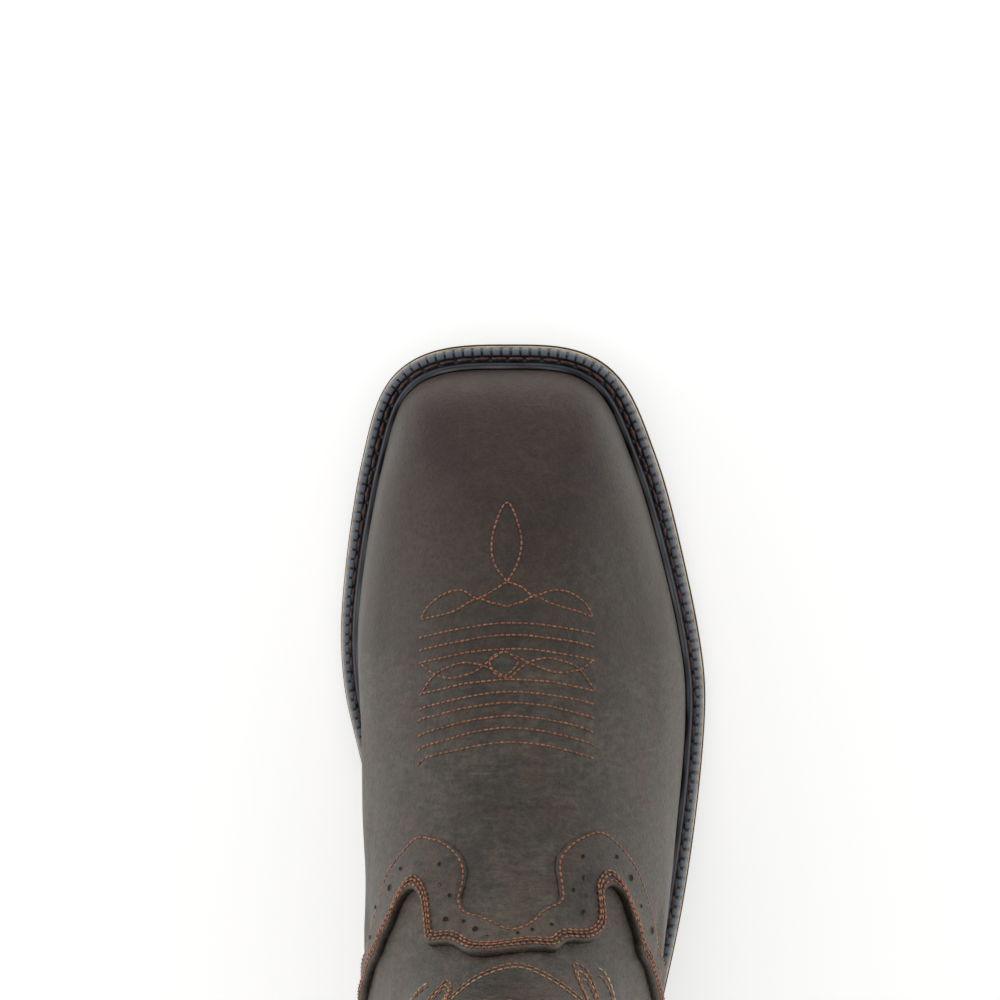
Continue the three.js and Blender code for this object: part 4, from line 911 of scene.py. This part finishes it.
def stitch_rows(rows, made, name, pitch=2.05, thick=0.62, cover=0.84):
    """Stitches along rows of points with normals, all joined into one object."""
    template = [(-1.0, 0.0, -TIP_DEPTH)]
    for along, wide in STITCH_RINGS:
        for turn in np.arange(STITCH_SIDES) * 2 * np.pi / STITCH_SIDES:
            template.append((along, wide * np.cos(turn), wide * np.sin(turn) - STITCH_BOW * along**2))
    template.append((1.0, 0.0, -TIP_DEPTH))
    template = np.array(template)
    near, middle, far, tip = (1 + k * STITCH_SIDES for k in range(4))
    stitch = []
    for i in range(STITCH_SIDES):
        j = (i + 1) % STITCH_SIDES
        stitch.append((0, near + j, near + i))
        stitch.append((near + i, near + j, middle + j, middle + i))
        stitch.append((middle + i, middle + j, far + j, far + i))
        stitch.append((far + i, far + j, tip))
    points = []
    for path, normal in rows:
        length = np.concatenate([[0], np.cumsum(np.linalg.norm(np.diff(path, axis=0), axis=1))])
        count = max(1, round(length[-1] / pitch))
        at = (np.arange(count) + 0.5) * length[-1] / count
        half = length[-1] / count / 2 * cover
        ends = [
            np.stack([np.interp(at + way * half, length, path[:, i]) for i in range(3)], 1)
            for way in (-1, 1)
        ]
        up = np.stack([np.interp(at, length, normal[:, i]) for i in range(3)], 1)
        along = (ends[1] - ends[0]) / 2
        up /= np.linalg.norm(up, axis=1, keepdims=True)
        aside = np.cross(up, along)
        aside /= np.linalg.norm(aside, axis=1, keepdims=True)
        centre = (ends[0] + ends[1]) / 2 + up * thick * 0.22
        shape = (
            centre[:, None]
            + template[None, :, :1] * along[:, None]
            + template[None, :, 1:2] * aside[:, None] * thick / 2
            + template[None, :, 2:] * up[:, None] * thick / 2
        )
        points.append(shape.reshape(-1, 3))
    points = np.concatenate(points)
    faces = []
    for first in range(0, len(points), len(template)):
        faces += [tuple(first + corner for corner in face) for face in stitch]
    return make_mesh(name, points, faces, made)


def thread(name, colour, pale):
    """Bonded thread: plied yarn under a thin smooth resin, a little paler where it is worn."""
    made = material(name, {"Roughness": 0.42, "IOR": 1.53, "Coat Weight": 0.2, "Coat Roughness": 0.3})
    spot = add(made, "TexCoord", {}).outputs["Object"]
    yarn = add(made, "TexNoise", {"Vector": spot, "Scale": per(1.6), "Detail": 3.0})
    tone = add(made, "ValToRGB", {"Fac": yarn}, stops=[(0.38, hue(colour)), (0.66, hue(pale))])
    ply = add(made, "TexNoise", {"Vector": spot, "Scale": per(0.22), "Detail": 1.0})
    relief = add(made, "Bump", {"Height": ply, "Strength": 0.3, "Distance": 0.0001})
    finish(made, {"Base Color": tone, "Normal": relief})
    return made


def on_skin(line, lift=0.0):
    """Points and normals of a line in u and v, lifted off the creased upper."""
    points = skin_point(line[:, 0], line[:, 1])
    normal = skin_normal(line[:, 0], line[:, 1])
    return points + normal * (crease_depth(points) + lift)[:, None], normal


copper_thread = thread("copper_bonded_thread", "75422c", "ac7049")
tan_thread = thread("tan_bonded_thread", "8a6746", "b9946a")
cream_thread = thread("cream_bonded_thread", "9c8866", "cdbb94")

# Toe and vamp stitching
# The hand-guided flame on the toe: a drop, two leaves that cross over its foot, then arched rows
# across the flex of the vamp with a twisted pair between the third and the fourth. One thread.
TOE_LINES = [
    [(197.6, -0.2), (202.4, 3.2), (208.5, 4.6), (215.3, 3.5), (222.3, 0.0), (215.5, -3.4), (209.3, -4.3),
     (202.6, -3.0), (197.6, -0.2)],
    [(197.6, -0.2), (194.9, 4.3), (192.7, 8.8), (195.2, 13.6), (194.2, 20.0), (189.6, 25.2), (186.3, 26.7)],
    [(197.6, -0.2), (195.7, -4.6), (193.3, -8.7), (195.2, -15.0), (193.5, -21.0), (189.9, -25.2),
     (186.5, -26.4)],
    [(186.3, 26.7), (188.6, 17.2), (192.7, 8.8), (191.4, 4.5), (189.9, -0.3)],
    [(186.5, -26.4), (190.1, -15.3), (193.3, -8.7), (191.6, -5.1), (189.9, -0.3)],
]
ARCHES = [
    (180.6, 185.0, 181.3),
    (176.6, 181.3, 177.2),
    (172.7, 177.1, 173.0),
    (162.8, 167.8, 163.8),
    (158.4, 164.0, 159.8),
    (155.0, 160.7, 155.5),
    (150.3, 156.7, 151.1),
    (145.9, 153.1, 147.3),
    (141.8, 148.8, 143.2),
]
ARCH_HALF_WIDTH = 27.4
TWIST = [
    [(172.7, 26.4), (169.8, 21.9), (168.8, 16.1), (170.3, 10.0), (173.7, 4.3), (176.4, 0.6)],
    [(173.0, -26.8), (170.6, -23.2), (169.7, -16.7), (170.9, -11.2), (172.8, -6.4), (175.0, -2.7)],
    [(162.8, 26.7), (169.2, 22.5), (172.0, 18.1), (173.5, 12.7), (172.6, 7.3), (169.9, 2.1),
     (168.0, -0.9), (171.0, -4.0), (173.1, -7.4), (174.3, -12.3), (173.3, -17.6), (170.7, -22.3),
     (163.7, -27.4)],
    [(173.7, 4.6), (170.8, 3.6), (168.5, 1.3), (170.4, -2.0), (173.1, -4.0), (175.1, -2.0),
     (176.4, 0.6), (175.1, 3.6), (173.7, 4.6)],
]
vamp_rows = []
for stops in TOE_LINES + TWIST:
    vamp_rows.append(on_skin(curve([on_top(x, y) for x, y in stops])))
for inner_x, middle_x, outer_x in ARCHES:
    across = np.linspace(1, -1, 9)
    bow = middle_x + (np.where(across > 0, inner_x, outer_x) - middle_x) * np.abs(across) ** 2.0
    stops = [on_top(x, y * ARCH_HALF_WIDTH) for x, y in zip(bow, across)]
    vamp_rows.append(on_skin(curve(stops)))
stitching = stitch_rows(vamp_rows, copper_thread, "vamp_stitching", pitch=1.8, thick=0.72)

# Heel counter and vamp collar
# Overlays of the same hide, 1.5 to 1.9 mm thick, folded at the edge and sewn down with two rows. The
# counter wraps the heel; the collar's wings run up from the waist, round two lobes and meet in a
# notch, with brogue punching in groups and a rear edge that stands free over the shaft.
OVERLAY = 1.9
HEM = [(0.0, 0.05), (0.0, 0.62), (0.22, 0.86), (0.7, 1.0)]  # inset, share of the lift
PARED_TO = 0.55


def ribbon(name, low, high, made, lift=OVERLAY, spread=12, raised=0.0, skived=0.0):
    """A padded band over the skin between two edges given in u and v, stop for stop.

    Its low edge is pared down over the skived width, and its high edge stands raised.
    """
    low = curve(low, 0.125)
    high = curve(high, 0.125)
    high[:, 0] += RING_POINTS * np.round((low[:, 0] - high[:, 0]) / RING_POINTS)
    width = np.linalg.norm(skin_point(*low.T) - skin_point(*high.T), axis=1)

    def pared(share):
        return 1.0 if skived == 0 else PARED_TO + (1 - PARED_TO) * smooth(share * width / skived)

    def at(share, up):
        line = low + (high - low) * np.reshape(share, (-1, 1))
        points, normal = on_skin(line)
        return points + normal * np.reshape(up * pared(share), (-1, 1))

    layers = [at(inset / width, np.full(len(low), lift * up)) for inset, up in HEM]
    for share in np.linspace(0, 1, spread)[1:-1]:
        inset = (1.2 + (width - 2.4) * share) / width
        layers.append(at(inset, np.full(len(low), lift) + raised * share**3))
    for inset, up in reversed(HEM):
        layers.append(at(1 - inset / width, np.full(len(low), lift * up) + raised * min(1, up * 1.2)))
    rings = np.stack(layers, 1)
    piece = make_tube(name, rings, made)

    def row(inset, from_high=False):
        share = (width - inset) / width if from_high else inset / width
        line = low + (high - low) * share[:, None]
        points, normal = on_skin(line)
        up = lift * pared(share) + (raised if from_high else 0.0)
        return points + normal * np.reshape(up, (-1, 1)), normal

    return piece, row


counter_low = []
counter_high = []
COUNTER_SIDE = [
    ((34, 37.9), (34, 46)),
    ((24, 38.3), (24, 58)),
    ((13, 38.6), (13, 68.5)),
    ((0, 38.8), (0, 76.5)),
    ((-13, 39), (-12, 85)),
    ((-24, 39), (-22, 96)),
]
for low, high in COUNTER_SIDE:
    counter_low.append(on_side(*low, 1))
    counter_high.append(on_side(*high, 1))
for y, high in [(14, 103.5), (0, 106.0), (-14, 103.5)]:
    counter_low.append(on_back(y, 39))
    counter_high.append(on_back(y, high))
for low, high in reversed(COUNTER_SIDE):
    counter_low.append(on_side(*low, -1))
    counter_high.append(on_side(*high, -1))
counter, counter_row = ribbon("heel_counter_skin", counter_low, counter_high, vamp_leather, spread=26)
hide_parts("heel_counter")

WING_LOW = [((63, 34.5), (47, 37.2)), ((69, 45), (54, 49)), ((76, 58), (62, 62)), ((86.4, 68.5), (70, 73))]
COLLAR_EDGES = [
    ((97.9, 39.0), (81.6, 39.0)),
    ((107.8, 36.2), (87.5, 36.6)),
    ((114.6, 32.1), (92.9, 34.1)),
    ((118.3, 28.0), (99.0, 31.6)),
    ((120.4, 23.5), (102.6, 29.4)),
    ((119.7, 18.8), (103.7, 26.3)),
    ((116.7, 14.1), (101.0, 24.2)),
    ((112.1, 11.3), (97.0, 23.6)),
    ((107.0, 11.2), (91.5, 22.9)),
    ((102.2, 12.4), (88.1, 22.0)),
    ((98.8, 9.9), (88.5, 15.2)),
    ((96.5, 4.0), (86.1, 9.7)),
    ((94.0, -0.8), (85.9, 3.7)),
    ((93.4, -2.9), (86.6, -2.7)),
    ((94.0, -5.4), (87.0, -8.5)),
    ((96.0, -8.4), (86.8, -15.4)),
    ((99.3, -12.6), (88.7, -20.2)),
    ((101.6, -16.8), (89.5, -28.6)),
    ((106.0, -17.0), (92.5, -30.4)),
    ((110.6, -15.7), (98.0, -30.1)),
    ((114.6, -16.6), (102.0, -29.8)),
    ((118.6, -20.3), (104.0, -31.2)),
    ((120.9, -26.0), (103.6, -33.6)),
    ((119.6, -31.9), (100.2, -35.9)),
    ((114.5, -36.7), (94.9, -37.7)),
    ((107.4, -40.8), (89.0, -39.4)),
    ((98.7, -43.5), (81.1, -41.5)),
]
collar_low = [on_side(*front, 1) for front, _ in WING_LOW]
collar_high = [on_side(*rear, 1) for _, rear in WING_LOW]
collar_low += [on_top(*front) for front, _ in COLLAR_EDGES]
collar_high += [on_top(*rear) for _, rear in COLLAR_EDGES]
collar_low += [on_side(*front, -1) for front, _ in reversed(WING_LOW)]
collar_high += [on_side(*rear, -1) for _, rear in reversed(WING_LOW)]
COLLAR_LIFT = 1.5
collar, collar_row = ribbon(
    "vamp_collar_skin",
    collar_low,
    collar_high,
    vamp_leather,
    lift=COLLAR_LIFT,
    spread=15,
    raised=1.0,
    skived=2.5,
)
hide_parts("vamp_collar")

overlay_rows = [counter_row(2.0, True), counter_row(4.1, True)]
overlay_rows += [collar_row(0.9), collar_row(1.4, True), collar_row(2.8, True), collar_row(3.9, True)]
stitching = stitch_rows(overlay_rows, copper_thread, "overlay_stitching", thick=0.74)

BIG_HOLES = [(111.4, 25.6), (104.0, 34.5), (95.6, 16.6), (92.8, 7.1), (112.8, -29.0), (107.3, -24.0),
             (106.0, -37.9), (97.0, -23.8), (88.9, -44.2)]
SMALL_HOLES = [(110.3, 30.8), (111.8, 19.0), (105.7, 18.8), (103.0, 15.1), (100.3, 18.6), (96.8, 39.2),
               (95.0, 10.8), (92.9, 12.5), (90.6, 4.0), (91.6, -4.5), (113.6, -23.7), (112.9, -33.4),
               (110.4, -26.5), (108.4, -33.7), (103.9, -20.6), (101.9, -25.0), (97.0, -40.9),
               (92.6, -9.0), (93.6, -14.5), (86.8, 40.9)]
PUNCHED_LIP = [(1.22, 0.0), (1.1, 0.22), (1.0, 0.24), (0.9, 0.1)]  # share of radius, rise
FLOOR_SHARE = 0.93
HOLE_SIDES = 16
hole_turn = np.arange(HOLE_SIDES) * 2 * np.pi / HOLE_SIDES


def hole_ring(x, y, lift, radius):
    """A ring of points round a place on the collar, at a height over the skin."""
    u, v = on_top(x, y)
    spot, up = on_skin(np.array([[u, v]]), lift)
    ahead = np.cross((0, 1, 0), up[0])
    ahead /= np.linalg.norm(ahead)
    aside = np.cross(up[0], ahead)
    return spot[0] + (ahead * np.cos(hole_turn)[:, None] + aside * np.sin(hole_turn)[:, None]) * radius


# each hole is a turned-down lip in the collar with the shaded flesh side of the vamp as its floor
shadow = material("shaded_flesh_side", {"Base Color": hue("2a1813"), "Roughness": 1.0, "IOR": 1.45})
for holes, radius, name in ((BIG_HOLES, 1.1, "brogue_large"), (SMALL_HOLES, 0.65, "brogue_small")):
    points = []
    faces = []
    floor = []
    for x, y in holes:
        first = len(points)
        for share, rise in PUNCHED_LIP:
            points += list(hole_ring(x, y, COLLAR_LIFT + rise, radius * share))
        faces += grid_faces(len(PUNCHED_LIP), HOLE_SIDES, closed=True, first=first).tolist()
        floor.append(hole_ring(x, y, COLLAR_LIFT + 0.11, radius * FLOOR_SHARE))
    piece = make_mesh(name, points, faces, vamp_leather)
    floor_faces = np.arange(len(holes) * HOLE_SIDES).reshape(-1, HOLE_SIDES).tolist()
    piece = make_mesh(name + "_floor", np.concatenate(floor), floor_faces, shadow)

# Welt stitching
# The outsole lockstitch in the welt's channel: thick waxed oxblood linen, 5.5 mm a stitch.
waxed_thread = thread("waxed_linen_thread", "271412", "5c372f")
welt_rows = []
line = off_feather(foot, out, (channel + reach - RIB_LENGTH) / 2 + 0.1, WELT_TOP - 0.3)
welt_rows.append((line, np.tile((0.0, 0.0, 1.0), (len(line), 1))))
stitching = stitch_rows(welt_rows, waxed_thread, "welt_stitching", pitch=5.5, thick=1.7, cover=0.94)

# Shaft stitching
# Front and back panels carry a mirrored pattern of flames in rows of copper, tan and cream, under
# a two-row arch over the throat. The side seams are double sewn beside the piping.
def in_front(y, z):
    return skin_hit((400, y, z), (-1, 0, 0))


shaft_rows = {"copper": [], "tan": [], "cream": []}
THROAT_ARCH = [
    (72.4, 17.4), (76.1, 13.7), (79.9, 8.7), (82.7, 2.7), (84.1, -3.3),
    (83.8, -7.4), (80.9, -14.2), (77.7, -19.5), (74.4, -23.6), (71.6, -26.6),
]
for inset, colour in ((0.0, "copper"), (0.9, "tan")):
    stops = [on_top(x - inset, y) for x, y in THROAT_ARCH]
    shaft_rows[colour].append(on_skin(curve(stops)))

# one flame: across from the middle line, height; the rows inside it shrink towards its heart
FLAMES = [
    ((14.5, 176), [(3, 146), (12, 152), (22, 166), (23, 182), (15, 196), (7, 206), (3, 218),
                   (5, 204), (7, 190), (5, 176), (3, 160), (3, 146)]),
    ((18.0, 234), [(6, 214), (16, 214), (27, 224), (28, 238), (20, 250), (12, 256), (5, 266),
                   (8, 252), (13, 240), (11, 228), (6, 214)]),
    ((30.0, 196), [(27, 164), (33, 174), (36, 190), (35, 206), (30, 220), (31, 204), (29, 188),
                   (27, 176), (27, 164)]),
]


def shrunk(heart, outline, share):
    """An outline drawn in round its heart."""
    return [(heart[0] + (y - heart[0]) * share, heart[1] + (z - heart[1]) * share) for y, z in outline]


for onto in (in_front, on_back):
    for hand in (1, -1):
        for heart, outline in FLAMES:
            for share, colour in ((1.0, "copper"), (0.84, "tan"), (0.68, "cream"), (0.52, "copper")):
                stops = [onto(hand * y, z) for y, z in shrunk(heart, outline, share)]
                shaft_rows[colour].append(on_skin(curve(stops)))
# the lowest leaves turn outward over the throat, where the panel bends into the vamp
LEAVES = [
    ((18.5, 136), [(16.4, 126), (20.5, 129), (23.5, 134), (24, 141), (20, 147), (17.5, 143),
                   (15.5, 137), (14.5, 131), (16.4, 126)]),
    ((-27.5, 121), [(-21.8, 114.5), (-25.5, 112.3), (-29, 114), (-31.5, 120), (-32, 129),
                    (-30, 136), (-28, 129), (-26, 122.5), (-23, 118.5), (-21.8, 114.5)]),
]
TENDRILS = [
    [(21.8, 120.7), (24.5, 119), (28, 119.5), (30.5, 124), (31, 131), (29, 138)],
    [(-29.3, 107.5), (-31.5, 105.5), (-34, 105), (-35.8, 109), (-36, 116), (-34.5, 123)],
]
for heart, outline in LEAVES:
    for share, colour in ((1.0, "copper"), (0.8, "tan"), (0.6, "copper")):
        stops = [in_front(y, z) for y, z in shrunk(heart, outline, share)]
        shaft_rows[colour].append(on_skin(curve(stops)))
for line in TENDRILS:
    for lower, colour in ((0.0, "cream"), (1.6, "copper")):
        shaft_rows[colour].append(on_skin(curve([in_front(y, z + lower) for y, z in line])))
SEAM_X = 12
for hand in (1, -1):
    for beside in (-4.2, -6.6, 4.2, 6.6):
        stops = [on_side(SEAM_X + beside, z, hand) for z in (112, 130, 150, 175, 200, 220, 238)]
        shaft_rows["copper"].append(on_skin(curve(stops)))
for colour, made in (("copper", copper_thread), ("tan", tan_thread), ("cream", cream_thread)):
    stitching = stitch_rows(shaft_rows[colour], made, "shaft_stitching_" + colour, pitch=2.3, thick=0.7)

# Side piping
# A leather cord caught in each side seam, from over the heel to the pull strap.
shaft_leather = oiled_leather("oiled_shaft_cowhide", "2e2822", "3f382f", "51493d", 0.5)
PIPING_RADIUS = 1.5
for side, hand in (("inner", 1), ("outer", -1)):
    line = curve([on_side(SEAM_X, z, hand) for z in np.linspace(92, 237, 16)])
    middle, out_way = on_skin(line, 0.2 + PIPING_RADIUS * 0.8)
    turn = np.arange(12) * 2 * np.pi / 12
    around = np.array([1.0, 0, 0]) * np.cos(turn)[:, None, None]
    around = around + out_way[None] * np.sin(turn)[:, None, None]
    rings = (middle[None] + around * PIPING_RADIUS).transpose(1, 0, 2)
    cord = make_tube(f"side_piping_{side}_cord", rings[:, ::hand], shaft_leather)
    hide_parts(f"side_piping_{side}")

# Collar binding
# A folded strip of the shaft's leather glued and sewn over the rim, 1.8 mm proud.
rim_out, rim_way = on_skin(np.stack([column_stops, np.full(FINE_COLUMNS, float(TOP_RING))], 1))
rim_way = rim_way * (1, 1, 0)
rim_way /= np.linalg.norm(rim_way, axis=1, keepdims=True)
BINDING_SECTION = [
    (0.5, -3.4), (0.95, -2.8), (0.95, -0.4), (0.75, 0.9), (0.1, 1.6), (-1.2, 1.8),
    (-2.5, 1.6), (-3.15, 0.9), (-3.35, -0.4), (-3.35, -2.8), (-2.9, -3.4),
]
rings = np.stack([rim_out + rim_way * aside + np.array([0, 0, up]) for aside, up in BINDING_SECTION], 1)
sides = len(BINDING_SECTION)
faces = grid_faces(FINE_COLUMNS, sides, closed=True)
seam = np.arange(sides)
last = (FINE_COLUMNS - 1) * sides
closing = np.stack([last + seam, last + (seam + 1) % sides, (seam + 1) % sides, seam], 1)
faces = np.concatenate([faces, closing])[:, ::-1].tolist()
binding = make_mesh("collar_binding_fold", rings.reshape(-1, 3), faces, shaft_leather)
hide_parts("collar_binding")
binding_row = rim_out + rim_way * 0.98 + np.array([0, 0, -1.6])
binding_row = np.concatenate([binding_row, binding_row[:1]])
binding_way = np.concatenate([rim_way, rim_way[:1]])
stitching = stitch_rows([(binding_row, binding_way)], copper_thread, "binding_stitching", pitch=2.3)

# Pull straps
# Leather loops 30 mm wide and 2.2 mm thick, sewn flat to the shaft outside and in, each with an
# edge row and a crossed box at the foot.
STRAP_WIDTH = 30
STRAP_THICKNESS = 2.2
STRAP_RISE = 21
STRAP_LEG = 58
STRAP_CLEAR = 0.75
LOOP_RADIUS = 7.5
OUT_STOPS = 28
TURN_STOPS = 25
IN_STOPS = 18


def side_half(x, z):
    """Half width of the boot at places on its side."""
    near = np.zeros_like(z)
    far = np.full_like(z, SHAFT_WIDTH)
    for _ in range(30):
        middle = (near + far) / 2
        outside = boot_field(x, middle, z) > 1
        far = np.where(outside, middle, far)
        near = np.where(outside, near, middle)
    return near


out_line = STRAP_CLEAR + STRAP_THICKNESS / 2
in_line = -WALL - STRAP_CLEAR - STRAP_THICKNESS / 2
loop_middle = (out_line + in_line) / 2
crown = BOOT_HEIGHT + STRAP_RISE - LOOP_RADIUS - STRAP_THICKNESS / 2
leg_out = np.linspace(BOOT_HEIGHT - STRAP_LEG, BOOT_HEIGHT + 3, OUT_STOPS)
turns = np.linspace(0, np.pi, TURN_STOPS)
leg_in = np.linspace(BOOT_HEIGHT + 3, BOOT_HEIGHT - 0.6 * STRAP_LEG, IN_STOPS)
over = loop_middle + LOOP_RADIUS * np.cos(turns)
strap_out = np.concatenate([np.full(OUT_STOPS, out_line), over, np.full(IN_STOPS, in_line)])
strap_z = np.concatenate([leg_out, crown + LOOP_RADIUS * np.sin(turns), leg_in])
way_out = np.concatenate([np.ones(OUT_STOPS), np.cos(turns), -np.ones(IN_STOPS)])
way_up = np.concatenate([np.zeros(OUT_STOPS), np.sin(turns), np.zeros(IN_STOPS)])


def strap_sheet(hand, across, shift):
    """Points along the strap at a place across it, moved off its middle sheet."""
    x = np.full_like(strap_z, SEAM_X + across)
    half = side_half(x, np.minimum(strap_z, BOOT_HEIGHT))
    out_y = half + strap_out + shift * way_out
    points = np.stack([x, hand * out_y, strap_z + shift * way_up], 1)
    normal = np.stack([np.zeros_like(x), hand * way_out, way_up], 1)
    return points, normal


strap_rows = []
for side, hand in (("inner", 1), ("outer", -1)):
    half = STRAP_WIDTH / 2
    edge = STRAP_THICKNESS / 2
    profile = [(s * half, 1) for s in np.linspace(-0.95, 0.95, 11)]
    rim_turn = [(half - 0.25, 0.85), (half, 0.4), (half, -0.4), (half - 0.25, -0.85)]
    profile += rim_turn + [(s * half, -1) for s in np.linspace(0.95, -0.95, 11)]
    profile += [(-x, z) for x, z in reversed(rim_turn)]
    rings = np.stack([strap_sheet(hand, x, z * edge)[0] for x, z in profile], 1)
    strap = make_tube(f"pull_strap_{side}_loop", rings[:, ::-hand], shaft_leather)
    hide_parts(f"pull_strap_{side}")
    for across in (-half + 2.2, half - 2.2, -half + 4.4, half - 4.4):
        points, normal = strap_sheet(hand, across, edge)
        sewn = OUT_STOPS + TURN_STOPS + 1
        strap_rows.append((points[:sewn], normal[:sewn]))
    for z in (BOOT_HEIGHT - STRAP_LEG + 2.4, BOOT_HEIGHT - STRAP_LEG + 26):
        line = []
        for across in np.linspace(-half + 4.4, half - 4.4, 12):
            y = side_half(np.array([SEAM_X + across]), np.array([z]))[0] + out_line + edge
            line.append((SEAM_X + across, hand * y, z))
        strap_rows.append((np.array(line), np.tile((0.0, hand, 0.0), (12, 1))))
    for slope in (1, -1):
        line = []
        for share in np.linspace(-1, 1, 16):
            across = share * (half - 4.4)
            z = BOOT_HEIGHT - STRAP_LEG + 14.2 + slope * share * 11.8
            y = side_half(np.array([SEAM_X + across]), np.array([z]))[0] + out_line + edge
            line.append((SEAM_X + across, hand * y, z))
        strap_rows.append((np.array(line), np.tile((0.0, hand, 0.0), (16, 1))))
stitching = stitch_rows(strap_rows, tan_thread, "strap_stitching", pitch=2.6, thick=0.8)

# Floor, light and camera
# A plain pale floor that glows a little, as a backlit product table does, under large soft lights.
# The camera looks almost straight down, toe at the top of the picture, from a little ahead and a
# little to the outer side.
floor_paint = material(
    "pale_backlit_floor",
    {
        "Base Color": hue("f2f2f0"),
        "Roughness": 0.9,
        "Emission Color": hue("ffffff"),
        "Emission Strength": 0.45,
    },
)
bpy.ops.mesh.primitive_plane_add(size=6, location=(0.1, 0, 0))
floor = bpy.context.object
floor.name = "floor"
floor.data.materials.append(floor_paint)

bpy.context.scene.view_settings.view_transform = "Standard"

# the room is bright round the horizon and dimmer overhead
world = bpy.data.worlds.new("studio")
world.use_nodes = True
room = world.node_tree.nodes["Background"]
room.inputs["Color"].default_value = hue("ffffff")
sky = world.node_tree.nodes.new("ShaderNodeTexCoord")
rise = world.node_tree.nodes.new("ShaderNodeSeparateXYZ")
shade = world.node_tree.nodes.new("ShaderNodeMapRange")
world.node_tree.links.new(sky.outputs["Generated"], rise.inputs[0])
world.node_tree.links.new(rise.outputs["Z"], shade.inputs["Value"])
for i, value in ((1, 0.0), (2, 0.85), (3, 1.05), (4, 0.5)):
    shade.inputs[i].default_value = value
world.node_tree.links.new(shade.outputs[0], room.inputs["Strength"])
bpy.context.scene.world = world


def soft_light(name, place, target, size, power):
    lamp = bpy.data.lights.new(name, "AREA")
    lamp.size = size
    lamp.energy = power
    holder = bpy.data.objects.new(name, lamp)
    holder.location = place
    aim = Vector(target) - Vector(place)
    holder.rotation_euler = aim.to_track_quat("-Z", "Y").to_euler()
    bpy.context.scene.collection.objects.link(holder)


soft_light("light_inner_side", (0.3, 1.8, 0.8), (0.15, 0, 0.05), 1.2, 8)
soft_light("light_outer_side", (0.3, -1.8, 0.8), (0.15, 0, 0.05), 1.2, 5)
soft_light("light_toe", (1.9, 0.1, 1.2), (0.2, 0, 0.05), 1.0, 3)

PIXELS_PER_MM = 3.12  # at the floor, in a picture 1000 pixels wide
look_at = Vector((0.2196, 0.0044, 0.0))
distance = 2.6
back = Vector((math.sin(math.radians(3.0)), -math.sin(math.radians(2.0)), 1.0)).normalized()
up = (Vector((1, 0, 0)) - back * back.x).normalized()
right = up.cross(back)
camera_data = bpy.data.cameras.new("camera")
camera_data.sensor_width = 36
camera_data.lens = 36 * distance * PIXELS_PER_MM
camera_data.clip_end = 20
camera = bpy.data.objects.new("camera", camera_data)
camera.location = look_at + distance * back
camera.rotation_euler = Matrix([[right[i], up[i], back[i]] for i in range(3)]).to_euler()
bpy.context.scene.collection.objects.link(camera)
bpy.context.scene.camera = camera
